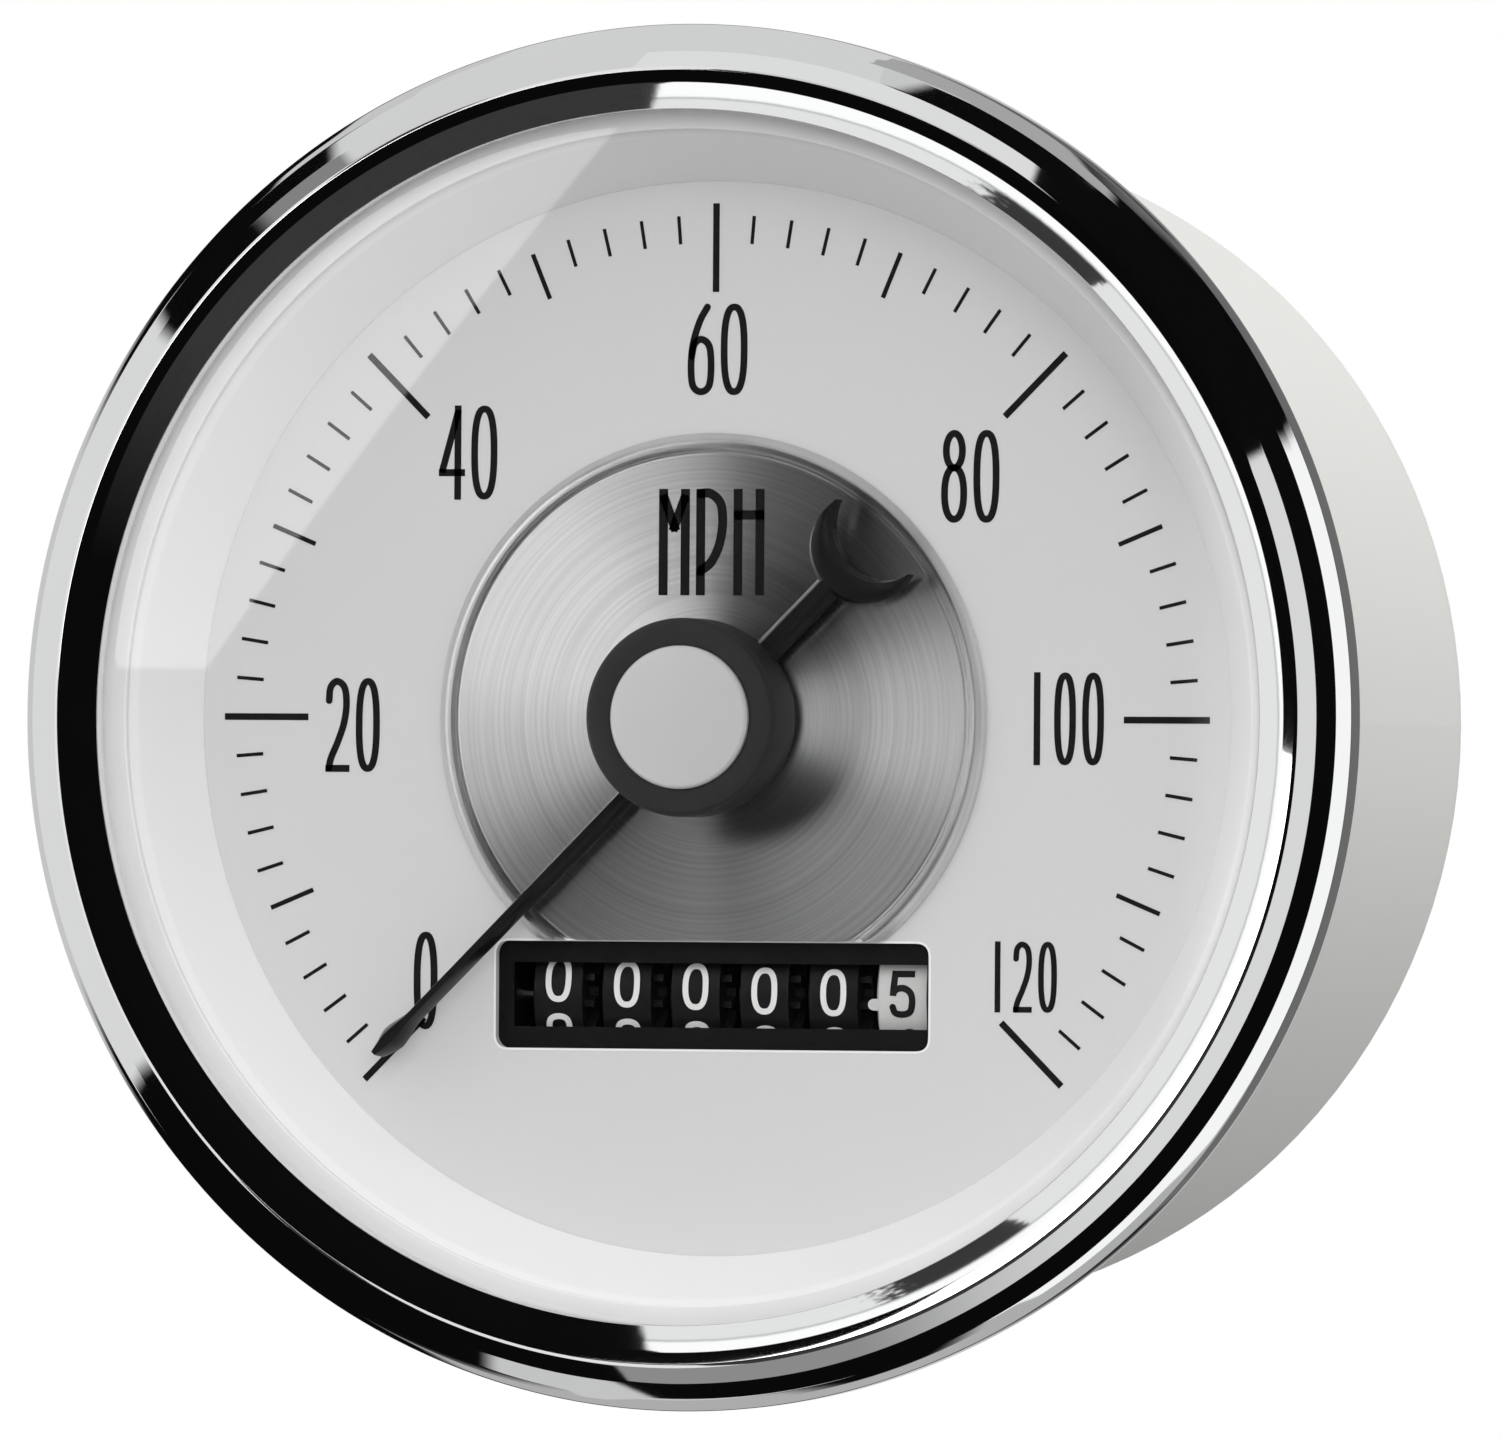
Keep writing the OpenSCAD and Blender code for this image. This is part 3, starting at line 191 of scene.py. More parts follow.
# Each panel has two directions in degrees, with its limits left and right in the first, low and high in the
# second, and then its softness, its brightness and the mask that it is seen through.
panels = [
    # the ring that the bezel's inner slope mirrors: light on one half, dark on the other
    (off_mirror, turn_both, ring_near, ring_middle, dark_turn, all_round, 0.5, 1.08, everywhere),
    (off_mirror, turn_both, ring_middle, ring_far, dark_turn, all_round, 0.5, 0.84, patched),
    (off_mirror, turn_both, ring_near, ring_far, -9, dark_turn, 0.7, 0.05, clouded),
    # beyond it, what the first part of the outer bevel mirrors
    (off_mirror, turn, ring_far, 77.5, -118, 21, 0.5, 0.74, fading),
    (off_mirror, turn, ring_far, 77.5, 50, 118, 0.5, 0.78, everywhere),
    (off_mirror, elevation, 60, 83, 36, 50, 1.0, 0.24, far_left),
    # the wedges that the brushed disc mirrors, to the left and the right
    (azimuth, elevation, -62, -17, -40, 40, 1.0, 3.0, wedge),
    (azimuth, elevation, -17, 10, -40, 40, 1.0, 3.4, wedge),
    # the big soft box, mirrored faintly by the glass at the upper left
    (leaning, elevation, -80, -30.0, 1.5, 19, 0.1, 3.0, near),
    # windows and cards to the sides, above, below and behind, for the outer bevel and the rolled edge
    (azimuth, elevation, -118, -62, -23, 26, 0.8, 0.74, everywhere),
    (azimuth, elevation, 80, 113, -76, 31, 1.5, 1.00, everywhere),
    (azimuth, elevation, 80, 185, -76, -35, 2.0, 0.45, everywhere),
    (azimuth, elevation, -185, -125, -76, -40, 2.0, 0.45, everywhere),
    (azimuth, elevation, -185, 10, 43, 95, 0.8, 0.68, everywhere),
    (azimuth, elevation, -185, -118, 32, 44, 0.8, 0.60, everywhere),
    (azimuth, elevation, 5, 112, 79, 95, 0.8, 0.62, everywhere),
    (azimuth, elevation, 60, 185, 62, 95, 1.0, 0.40, everywhere),
    (azimuth, elevation, -130, -80, -95, -57, 1.0, 0.60, everywhere),
    (azimuth, elevation, 118, 185, -60, 60, 5.0, 0.15, everywhere),
    (azimuth, elevation, -185, -118, -14, 15, 3.0, 0.60, everywhere),
]
dark_card, even_light, more_from_above, plain_white = 0.003, 0.80, 0.62, 1.0
mirrored = dark_card
for *shape, brightness, share in panels:
    mask = grouped(sky, panel_group, dict(zip(panel_inputs, shape)))["Mask"]
    mirrored = maths(sky, "MAXIMUM", mirrored, product(sky, mask, brightness, share))
even = maths(sky, "MULTIPLY_ADD", direction.outputs[2], even_light * more_from_above, even_light)
seen = even
for ray, light in (("Is Glossy Ray", mirrored), ("Is Camera Ray", plain_white)):
    seen = node(sky, "ShaderNodeMix", {0: path[ray], 2: seen, 3: light}, data_type="FLOAT").outputs[0]
background = node(sky, "ShaderNodeBackground", {"Color": (1, 1, 1, 1), "Strength": seen})
node(sky, "ShaderNodeOutputWorld", {0: background.outputs[0]})

for name, place, width, watts in (
    ("key_lamp", (330, -1000, 360), 700, 4.2),
    ("fill_lamp", (760, -620, -420), 500, 2.4),
    ("back_lamp", (350, 900, 650), 600, 4.0),
):
    lamp = bpy.data.objects.new(name, bpy.data.lights.new(name, "AREA"))
    lamp.data.shape = "DISK"
    lamp.data.size = width * mm
    lamp.data.energy = watts
    away = np.array(place) / np.linalg.norm(place)
    facing = Vector(away).to_track_quat("Z", "Y").to_matrix().to_4x4()
    lamp.matrix_world = Matrix.Translation(np.array(place) * mm) @ facing
    lamp.visible_camera = lamp.visible_glossy = lamp.visible_transmission = False
    bpy.context.scene.collection.objects.link(lamp)


# Floor: a round sheet of pale matt paper, well below the gauge and out of the picture, which catches the
# gauge's shadow in other views. Its grain, like every piece's, is noise on Object coordinates in metres.
grain_group, given, result = group("grain", ["Size", "Patch"], ["Height", "Mottle"])
where = node(grain_group, "ShaderNodeTexCoord").outputs["Object"]
fine_scale = maths(grain_group, "DIVIDE", 1.0, given.outputs["Size"])
patch_scale = maths(grain_group, "DIVIDE", 1.0, given.outputs["Patch"])
for scale, detail, label in ((fine_scale, 3.0, "Height"), (patch_scale, 4.0, "Mottle")):
    noise = node(grain_group, "ShaderNodeTexNoise", {"Vector": where, "Scale": scale, "Detail": detail})
    grain_group.links.new(noise.outputs["Fac"], result.inputs[label])


def blank(name):
    """A new material, with its node tree and its main shader."""
    made = bpy.data.materials.new(name)
    made.use_nodes = True
    return made, made.node_tree, made.node_tree.nodes["Principled BSDF"]


def material(name, colour, roughness, metallic=0.0, size=0.2, patch=6.0, relief=0.0, shade=0.06, haze=0.08,
             **sockets):
    """A finish with life in it: grain of that size in mm gives relief, and wider patches vary the colour by
    the share shade to each side, and the roughness by half of haze to each side."""
    made, tree, shader = blank(name)
    grain = grouped(tree, grain_group, {"Size": size * mm, "Patch": patch * mm})
    tinted = node(tree, "ShaderNodeMix", {
        0: grain["Mottle"],
        6: tuple(np.minimum(np.array(colour) * (1 + shade), 1)) + (1,),
        7: tuple(np.array(colour) * (1 - shade)) + (1,),
    }, data_type="RGBA")
    tree.links.new(tinted.outputs[2], shader.inputs["Base Color"])
    ends = {0: grain["Mottle"], 3: roughness - haze / 2, 4: roughness + haze / 2}
    dulled = node(tree, "ShaderNodeMapRange", ends)
    tree.links.new(dulled.outputs[0], shader.inputs["Roughness"])
    shader.inputs["Metallic"].default_value = metallic
    if relief:
        raised = {"Strength": 1.0, "Distance": relief * mm, "Height": grain["Height"]}
        bump = node(tree, "ShaderNodeBump", raised)
        tree.links.new(bump.outputs[0], shader.inputs["Normal"])
    for label, value in sockets.items():
        shader.inputs[label.replace("_", " ")].default_value = value
    return made


floor_paper = material("floor_paper", (0.86, 0.86, 0.855), 0.9, size=1.5, patch=90, relief=0.02, shade=0.01)
floor_r, floor_z, rings, sides = 1400, -120, 11, 72
floor_rows = np.linspace(0, floor_r, rings + 1)
floor_turn = np.linspace(0, 2 * np.pi, sides + 1)
floor_sheet = np.stack([
    floor_rows[:, None] * np.sin(floor_turn),
    floor_rows[:, None] * np.cos(floor_turn),
    0 * floor_rows[:, None] * floor_turn + floor_z,
], axis=-1)
floor_mesh = bpy.data.meshes.new("floor")
quads = (np.arange(rings)[:, None] * (sides + 1) + np.arange(sides)).ravel()
floor_mesh.from_pydata(
    (floor_sheet.reshape(-1, 3) * mm).tolist(), [],
    np.stack([quads, quads + sides + 1, quads + sides + 2, quads + 1], axis=1).tolist(),
)
floor_mesh.materials.append(floor_paper)
floor = bpy.data.objects.new("floor", floor_mesh)
bpy.context.scene.collection.objects.link(floor)
floor.visible_glossy = floor.visible_transmission = floor.visible_diffuse = False


# Case shell: a drawn steel can with a flared rim, stoved with a warm off-white paint that has a faint
# orange peel. The CAD node has its holes, so it stays and takes the paint.
def dress(finish, *names):
    """Gives CAD nodes their finish; their shapes stay as they are."""
    for name in names:
        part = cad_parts[name]
        part.data.materials.clear()
        part.data.materials.append(finish)


case_paint = material("case_paint", (0.72, 0.725, 0.698), 0.42, size=0.9, patch=14, relief=0.012,
                      shade=0.02, haze=0.06)
dress(case_paint, "case_shell")

# Cable stem: a turned and threaded brass tube, nickel plated, pulled tight by a thin hexagon nut. The
# drive cable's ferrule enters its bore from behind.
stem_thread_r, stem_shank_r, stem_flange_r, stem_bore_r, socket_r = 7.94, 8.19, 11, 4.4, 5.0
case_inside, case_back = 45.8, 46.5
stem_front, nut_back, thread_front, thread_back, stem_back = 44.6, 49.1, 49.5, 59.2, 60.0
nickel = material("nickel", (0.66, 0.64, 0.60), 0.28, 1.0, size=0.15, patch=5, relief=0.004, shade=0.10,
                  haze=0.14)


def skin(name, sheets, body, finish, stands_for=(), crease=35.0):
    """One mesh from sheets of points, rows by columns, in millimetres.

    Each face joins four neighbours of a sheet; points that meet, at seams and poles, are welded.
    """
    points, faces, start = [], [], 0
    for sheet in sheets:
        rows, columns = sheet.shape[:2]
        first = start + (np.arange(rows - 1)[:, None] * columns + np.arange(columns - 1)).ravel()
        faces.append(np.stack([first, first + 1, first + columns + 1, first + columns], axis=1))
        points.append(sheet.reshape(-1, 3))
        start += rows * columns
    mesh = bpy.data.meshes.new(name)
    mesh.from_pydata((np.concatenate(points) * mm).tolist(), [], np.concatenate(faces).tolist())
    welded = bmesh.new()
    welded.from_mesh(mesh)
    bmesh.ops.remove_doubles(welded, verts=welded.verts, dist=1e-6)
    bmesh.ops.recalc_face_normals(welded, faces=welded.faces)
    welded.to_mesh(mesh)
    welded.free()
    mesh.shade_smooth()
    mesh.set_sharp_from_angle(angle=np.radians(crease))
    mesh.materials.append(finish)
    made = bpy.data.objects.new(name, mesh)
    bpy.context.scene.collection.objects.link(made)
    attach(made, body)
    if stands_for:
        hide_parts(*stands_for)
    return made


def soften(corners, radius, steps=4, loop=False):
    """Rounds a chain of corners: each becomes a quadratic curve that starts and ends up to radius away."""
    p = np.array(corners, float)
    before, after = np.roll(p, 1, axis=0) - p, np.roll(p, -1, axis=0) - p
    long_before = np.linalg.norm(before, axis=1, keepdims=True)
    long_after = np.linalg.norm(after, axis=1, keepdims=True)
    cut = np.minimum(np.reshape(radius, (-1, 1)), 0.45 * np.minimum(long_before, long_after))
    if not loop:
        cut = cut * np.ones((len(p), 1))
        cut[[0, -1]] = 0
    a, b = p + before / long_before * cut, p + after / long_after * cut
    t = np.linspace(0, 1, steps + 1)[None, :, None]
    bends = (1 - t) ** 2 * a[:, None] + 2 * t * (1 - t) * p[:, None] + t**2 * b[:, None]
    chain = bends.reshape(-1, p.shape[1])
    return np.concatenate([chain, chain[:1]]) if loop else chain


def turned(profile, steps=144, at=(0.0, 0.0)):
    """A profile of [radius, depth] points swept once round an axis that runs into the gauge at [x, z]."""
    profile = np.array(profile, float)
    a = np.linspace(0, 2 * np.pi, steps + 1)
    r, y = profile[:, :1], profile[:, 1:]
    return np.stack([at[0] + r * np.sin(a), y + 0 * a, at[1] + r * np.cos(a)], axis=-1)


def threaded(crest, y0, y1, pitch, depth, at=(0.0, 0.0), steps=72):
    """A screw thread: the radius falls from the crest by a triangle wave of depth over turn and distance.

    The wave fades out over the first and last half turn.
    """
    y = np.linspace(y0, y1, int((y1 - y0) / pitch * 8) + 1)[:, None]
    a = np.linspace(0, 2 * np.pi, steps + 1)
    wave = np.abs(2 * np.mod(y / pitch - a / (2 * np.pi), 1) - 1)
    wave = np.clip(wave * 1.25 - 0.1, 0, 1)
    fade = np.clip(np.minimum(y - y0, y1 - y) / (0.5 * pitch), 0, 1)
    r = crest - depth * wave * fade
    return np.stack([at[0] + r * np.sin(a), y + 0 * a, at[1] + r * np.cos(a)], axis=-1)


def hexagon(across_corners, y0, y1, bore, at=(0.0, 0.0), turn=0.0, steps=96):
    """A chamfered nut: its outline is the smaller of a hexagon and of a cone at each end."""
    a = np.linspace(0, 2 * np.pi, steps + 1)
    flat = across_corners * np.cos(np.pi / 6)
    hexagonal = flat / np.cos(np.mod(a - turn, np.pi / 3) - np.pi / 6)
    drop = np.array([0, 0.03, 0.06, 0.1, 0.15, 0.21, 0.28, 0.36, 0.45])
    cone = flat * 0.985 + drop / np.tan(np.radians(30))
    rows = [(bore + 0 * a, y1), (bore + 0 * a, y0)]
    rows += [(np.minimum(hexagonal, c), y0 + d) for c, d in zip(cone, drop)]
    rows += [(np.minimum(hexagonal, c), y1 - d) for c, d in zip(cone[::-1], drop[::-1])]
    rows += [(bore + 0 * a, y1)]
    return np.stack([
        np.stack([at[0] + r * np.sin(a), 0 * a + y, at[1] + r * np.cos(a)], axis=-1) for r, y in rows
    ])


stem_rows = np.concatenate([
    turned(soften([
        [stem_bore_r, stem_front], [stem_flange_r, stem_front], [stem_flange_r, case_inside],
        [stem_shank_r, case_inside], [stem_shank_r, thread_front], [stem_thread_r, thread_front],
    ], 0.15), 72),
    threaded(stem_thread_r, thread_front, thread_back, 1.25, 0.55),
    turned(soften([
        [stem_thread_r, thread_back], [7.44, stem_back], [socket_r, stem_back], [socket_r, 55.0],
        [stem_bore_r, 55.0], [stem_bore_r, stem_front],
    ], 0.12), 72),
])
skin("threaded_stem", [stem_rows], "housing", nickel, ["cable_stem"], crease=50)
skin("hexagon_stem_nut", [hexagon(11.6, case_back, nut_back, stem_shank_r)], "housing", nickel,
     ["stem_nut"])

# Mounting studs: two zinc-plated studs, headed inside the case, with a flat washer and a nut each. They
# hold the bracket that pulls the gauge against the dashboard.
stud_x, stud_r, stud_shank_r, stud_head_r = 25.4, 2.4, 2.65, 4.2
washer_back, shank_back, stud_thread_back, stud_back = 47.3, 50.9, 67.4, 68.0
zinc = material("zinc_plate", (0.63, 0.64, 0.65), 0.30, 1.0, size=0.12, patch=3, relief=0.004, shade=0.10,
                haze=0.16)
studs, washers, nuts = [], [], []
for x in (-stud_x, stud_x):
    studs.append(np.concatenate([
        turned(soften([
            [0, 44.8], [stud_head_r, 44.8], [stud_head_r, case_inside], [stud_shank_r, case_inside],
            [stud_shank_r, shank_back], [stud_r, shank_back],
        ], 0.1), 48, (x, 0)),
        threaded(stud_r, shank_back, stud_thread_back, 0.8, 0.35, (x, 0), 48),
        turned(soften([[stud_r, stud_thread_back], [1.8, stud_back], [0, stud_back]], 0.1), 48, (x, 0)),
    ]))
    washers.append(turned(soften([
        [stud_shank_r, case_back], [5.4, case_back], [5.4, washer_back], [stud_shank_r, washer_back],
    ], 0.15, loop=True), 72, (x, 0)))
    nuts.append(hexagon(5.2, washer_back, 50.5, stud_shank_r, (x, 0), 0.3 * np.sign(x)))
skin("threaded_studs", studs, "housing", zinc, ["mounting_studs"], crease=50)
skin("flat_washers", washers, "housing", zinc, ["stud_washers"])
skin("hexagon_nuts", nuts, "housing", zinc, ["stud_nuts"])

# Lamps: black moulded sockets pushed into the back, with two blade contacts, and wedge bulbs that light
# the dial from behind.
lamp_x, lamp_z, bulb_hole_r = 17.01, 17.99, 2.6
contact_gap, half_thick, half_wide, contact_front, contact_back = 2.4, 0.4, 1.6, 53.9, 59.1
socket_plastic = material("socket_plastic", (0.028, 0.028, 0.030), 0.46, size=0.25, patch=3, relief=0.006,
                          shade=0.2)


def slab(outline, y0, y1, bevel=0.08):
    """A flat [x, z] outline carried from depth y0 to y1, with bevelled edges, closed by a fan at each end."""
    outline = np.array(outline, float)
    outline = np.concatenate([outline, outline[:1]])
    middle = outline[:-1].mean(axis=0)
    reach = np.linalg.norm(outline - middle, axis=1, keepdims=True)
    inner = middle + (outline - middle) * (1 - bevel / reach)
    rows = [(middle + 0 * outline, y0), (inner, y0), (outline, y0 + bevel),
            (outline, y1 - bevel), (inner, y1), (middle + 0 * outline, y1)]
    return np.stack([np.stack([row[:, 0], 0 * row[:, 0] + y, row[:, 1]], axis=-1) for row, y in rows])


sockets, contacts = [], []
for x in (-lamp_x, lamp_x):
    sockets.append(turned(soften([
        [bulb_hole_r, 42.55], [6.0, 42.55], [6.0, case_back], [8.0, case_back], [8.0, 47.9], [6.2, 48.5],
        [5.8, 53.5], [5.2, 54.1], [0, 54.1],
    ], 0.3), 96, (x, lamp_z)))
    sockets.append(turned([[0, 45.8], [bulb_hole_r, 45.8], [bulb_hole_r, 42.55]], 96, (x, lamp_z)))
    for side_x in (x - contact_gap, x + contact_gap):
        low_x, high_x = side_x - half_thick, side_x + half_thick
        low_z, high_z = lamp_z - half_wide, lamp_z + half_wide
        outline = [[low_x, low_z], [low_x, high_z], [high_x, high_z], [high_x, low_z]]
        contacts.append(slab(outline, contact_front, contact_back, 0.1))
skin("moulded_sockets", sockets, "housing", socket_plastic, ["lamp_sockets"])
skin("contact_blades", contacts, "housing", zinc)
lamp_glass = material("lamp_glass", (0.95, 0.93, 0.86), 0.05, patch=2, shade=0.02, haze=0.02,
                      Transmission_Weight=0.9)
dress(lamp_glass, "lamp_bulbs")

# Screws: three zinc-plated pan-head screws go through the back of the case into the frame's posts, and
# smaller ones hold the bridge on its pillars and the brackets on the frame's plate.
dress(zinc, "frame_screws", "inner_screws")

# Main frame: a zinc die casting, with its three posts, that carries everything between the dial and the
# back. The brackets and the bridge are stamped steel.
cast_zinc = material("cast_zinc", (0.48, 0.485, 0.49), 0.52, 0.9, size=0.35, patch=5, relief=0.02,
                     shade=0.12, haze=0.12)
sheet_steel = material("sheet_steel", (0.56, 0.56, 0.55), 0.34, 1.0, size=0.18, patch=7, relief=0.005,
                       shade=0.08, haze=0.12)
brass = material("brass", (0.76, 0.56, 0.26), 0.28, 1.0, size=0.1, patch=3, relief=0.004, shade=0.10,
                 haze=0.12)
dress(cast_zinc, "main_frame")
dress(sheet_steel, "front_bridge", "odometer_bracket_left", "odometer_bracket_right", "gear_bracket")
dress(brass, "bridge_pillars")

# Drive: a sintered magnet on the turned steel spindle, inside a drawn field cup, running in two oiled
# bronze bushes.
ferrite = material("ferrite", (0.045, 0.045, 0.047), 0.58, 0.2, size=0.3, patch=2, relief=0.02, shade=0.25)
bronze = material("sintered_bronze", (0.50, 0.33, 0.17), 0.45, 1.0, size=0.12, patch=1.5, relief=0.02,
                  shade=0.15)
bright_steel = material("bright_steel", (0.68, 0.68, 0.67), 0.20, 1.0, size=0.1, patch=4, relief=0.003,
                        shade=0.06)
dress(ferrite, "magnet")
dress(bronze, "spindle_bushes")
dress(bright_steel, "drive_spindle", "stop_pins")
dress(sheet_steel, "field_cup")

# Speed cup and staff: a thin aluminium cup pressed on a steel staff, held back by a flat bronze hairspring
# and turning in a red jewel.
aluminium = material("spun_aluminium", (0.80, 0.80, 0.81), 0.30, 1.0, size=0.1, patch=6, relief=0.004,
                     shade=0.05)
spring_bronze = material("spring_bronze", (0.72, 0.45, 0.20), 0.25, 1.0, size=0.1, patch=2, shade=0.12)
jewel_red = material("jewel_red", (0.55, 0.02, 0.05), 0.08, size=0.1, patch=1, shade=0.15, Coat_Weight=0.5)
dress(aluminium, "speed_cup")
dress(spring_bronze, "hairspring")
dress(brass, "hairspring_collet", "hairspring_stud")
dress(bright_steel, "pointer_spindle", "stop_arm")
dress(jewel_red, "jewel_bearing")

# Gear train: two steel shafts with rolled worms, two bronze worm wheels, and a moulded idler that drives
# the odometer.
acetal = material("natural_acetal", (0.80, 0.79, 0.74), 0.38, size=0.2, patch=3, relief=0.003, shade=0.03)
wheel_bronze = material("wheel_bronze", (0.62, 0.42, 0.20), 0.33, 1.0, size=0.1, patch=2, relief=0.004,
                        shade=0.12)
dress(bright_steel, "cross_shaft", "lay_shaft", "odometer_shaft", "pinion_shaft")
dress(wheel_bronze, "cross_wheel", "lay_wheel")
dress(acetal, "idler_gear", "pinion_ones", "pinion_tens", "pinion_hundreds", "pinion_thousands",
      "pinion_ten_thousands")


# Odometer wheels: moulded number wheels on a common shaft, five black with white figures and the tenths
# white with black ones and a lug beside each. The figures are hot-foiled on, ten to a wheel.
def curve(corners, steps=7):
    """A smooth open run through its points: each span is a cubic that leaves a point parallel to the chord of
    that point's neighbours, and past an end the run goes on as it came."""
    p = np.array(corners, float)
    padded = np.concatenate([2 * p[:1] - p[1:2], p, 2 * p[-1:] - p[-2:-1]])
    a, b, c, d = (padded[i:len(p) - 1 + i, None] for i in range(4))
    t = np.linspace(0, 1, steps, endpoint=False)[None, :, None]
    span = b + 0.5 * t * (c - a + t * (2 * a - 5 * b + 4 * c - d + t * (3 * (b - c) + d - a)))
    return np.concatenate([span.reshape(-1, 2), p[-1:]])


def oval(x, y, rx, ry, square=1.0, steps=40):
    """A closed oval: a circle squeezed to its two radii, with its sides drawn out by the power square."""
    a = np.linspace(0, 2 * np.pi, steps + 1)
    s, c = np.sin(a), np.cos(a)
    across = rx * np.sign(s) * np.abs(s) ** square
    upwards = ry * np.sign(c) * np.abs(c) ** square
    return np.stack([x + across, y + upwards], axis=1)


figures = {
    "0": [oval(0.5, 0.5, 0.5, 0.5, 0.8)],
    "1": [[[0.5, 0], [0.5, 1]]],
    "2": [curve([[0, 0.78], [0.08, 0.93], [0.45, 1], [0.88, 0.93], [1, 0.74], [0.86, 0.52], [0.5, 0.3],
                 [0.13, 0.12], [0, 0]]), [[0, 0], [1, 0]]],
    "3": [curve([[0, 0.84], [0.12, 0.96], [0.5, 1], [0.88, 0.94], [0.95, 0.78], [0.82, 0.6], [0.42, 0.54]]),
          curve([[0.42, 0.54], [0.86, 0.48], [1, 0.27], [0.88, 0.06], [0.5, 0], [0.12, 0.04], [0, 0.18]])],
    "4": [[[0.80, 0], [0.80, 1]], [[0.78, 0.95], [0.03, 0.31]], [[0, 0.27], [1, 0.27]]],
    "5": [[[0.94, 1], [0.10, 1]], [[0.10, 1], [0.03, 0.54]],
          curve([[0.03, 0.54], [0.25, 0.63], [0.6, 0.64], [0.92, 0.52], [1, 0.3], [0.88, 0.07], [0.5, 0],
                 [0.12, 0.04], [0, 0.18]])],
    "6": [curve([[0.80, 1], [0.42, 0.83], [0.1, 0.57], [0, 0.3], [0.1, 0.07], [0.5, 0], [0.9, 0.07], [1, 0.3],
                 [0.9, 0.54], [0.5, 0.62], [0.16, 0.56], [0.03, 0.42]])],
    "7": [[[0, 1], [1, 1]], curve([[1, 1], [0.68, 0.6], [0.45, 0.28], [0.38, 0]])],
    "8": [oval(0.5, 0.8, 0.42, 0.2), oval(0.5, 0.3, 0.5, 0.3, 0.9)],
}
figures["9"] = [1 - np.array(stroke) for stroke in figures["6"]]


def pen(stroke, width, thick, square=False):
    """A pen stroke: half the width goes to each side of the path, along its normals. Past each end the half
    width falls as a circle's, or the stroke is cut off square. The rows of the ribbon are [u, v, height]."""
    p = np.array(stroke, float)
    half = width / 2
    closed = np.allclose(p[0], p[-1])
    if closed:
        along = np.roll(p[:-1], -1, axis=0) - np.roll(p[:-1], 1, axis=0)
        along = np.concatenate([along, along[:1]])
    else:
        along = np.gradient(p, axis=0)
    along = along / np.linalg.norm(along, axis=1, keepdims=True)
    wide = np.full(len(p), half)
    if not closed:
        rounding = np.linspace(0, np.pi / 2, 7)[1:]
        past = half * (np.ones(2) if square else np.sin(rounding))[:, None]
        taper = half * (np.array([1.0, 0.0]) if square else np.cos(rounding))
        p = np.concatenate([(p[0] - along[0] * past)[::-1], p, p[-1] + along[-1] * past])
        wide = np.concatenate([taper[::-1], wide, taper])
        first, last = np.repeat(along[:1], len(past), 0), np.repeat(along[-1:], len(past), 0)
        along = np.concatenate([first, along, last])
    across = np.stack([-along[:, 1], along[:, 0]], axis=1) * wide[:, None]
    left, right = p + across, p - across
    low, high = np.zeros((len(p), 1)), np.full((len(p), 1), thick)
    corners = [(left, low), (left, high), (right, high), (right, low), (left, low)]
    return np.stack([np.concatenate([edge, h], axis=1) for edge, h in corners], axis=1)


def lettering(text, left, right, low, high, width, thick=0.02, gap=0.4, shapes=figures):
    """Figures that fill a box, with equal widths and gaps; each stroke's edge touches the box."""
    advance = (right - left + gap) / len(text)
    ribbons = []
    for i, letter in enumerate(text):
        size = np.array([advance - gap - width, high - low - width])
        corner = np.array([left + i * advance + width / 2, low + width / 2])
        for stroke in shapes[letter]:
            p = corner + np.array(stroke, float) * size
            straight = len(p) == 2
            if straight:
                p = p[0] + (p[1] - p[0]) * np.linspace(0, 1, 13)[:, None]
            ribbons.append(pen(p, width, thick, straight))
    return ribbons


wheel_black = material("wheel_black", (0.009, 0.009, 0.010), 0.36, size=0.2, patch=2, relief=0.002,
                       shade=0.2, Specular_IOR_Level=0.25)
wheel_white = material("wheel_white", (0.66, 0.66, 0.65), 0.40, size=0.2, patch=2, relief=0.002, shade=0.02)
foil_white = material("foil_white", (0.90, 0.90, 0.88), 0.42, size=0.1, patch=1.5, shade=0.03)
foil_black = material("foil_black", (0.012, 0.012, 0.012), 0.40, size=0.1, patch=1.5, shade=0.1,
                      Specular_IOR_Level=0.2)
odometer_y, odometer_z, rim_r = 10.8, -17.2, 5.8
figure_x, figure_z, one_figure = 0.84, 1.47, np.radians(36)


def rolled(ribbon, x, angle):
    """Wraps a ribbon round a number wheel's rim at x, turned up by the angle."""
    a = ribbon[..., 1] / rim_r + angle
    r = rim_r + ribbon[..., 2]
    return np.stack([x + ribbon[..., 0], odometer_y - r * np.cos(a), odometer_z + r * np.sin(a)], axis=-1)


wheels = [
    # name, middle of the rim, lift of the figure at the window, figure shown
    ("ten_thousands", -10.45, 0.99, 0), ("thousands", -5.98, 0.68, 0), ("hundreds", -1.51, 0.56, 0),
    ("tens", 2.96, 0.32, 0), ("ones", 7.43, 0.25, 0), ("tenths", 11.90, 0.19, 5),
]
for name, x, lift, shown in wheels:
    tenths = name == "tenths"
    dress(wheel_white if tenths else wheel_black, "wheel_" + name)
    ribbons = []
    for figure in range(10):
        drawn = lettering(str(figure), -figure_x, figure_x, -figure_z, figure_z, 0.42 if tenths else 0.37)
        ribbons += [rolled(ribbon, x, lift / rim_r + one_figure * (figure - shown)) for ribbon in drawn]
    foil = foil_black if tenths else foil_white
    skin("figures_" + name, ribbons, "wheel_" + name + "_body", foil)
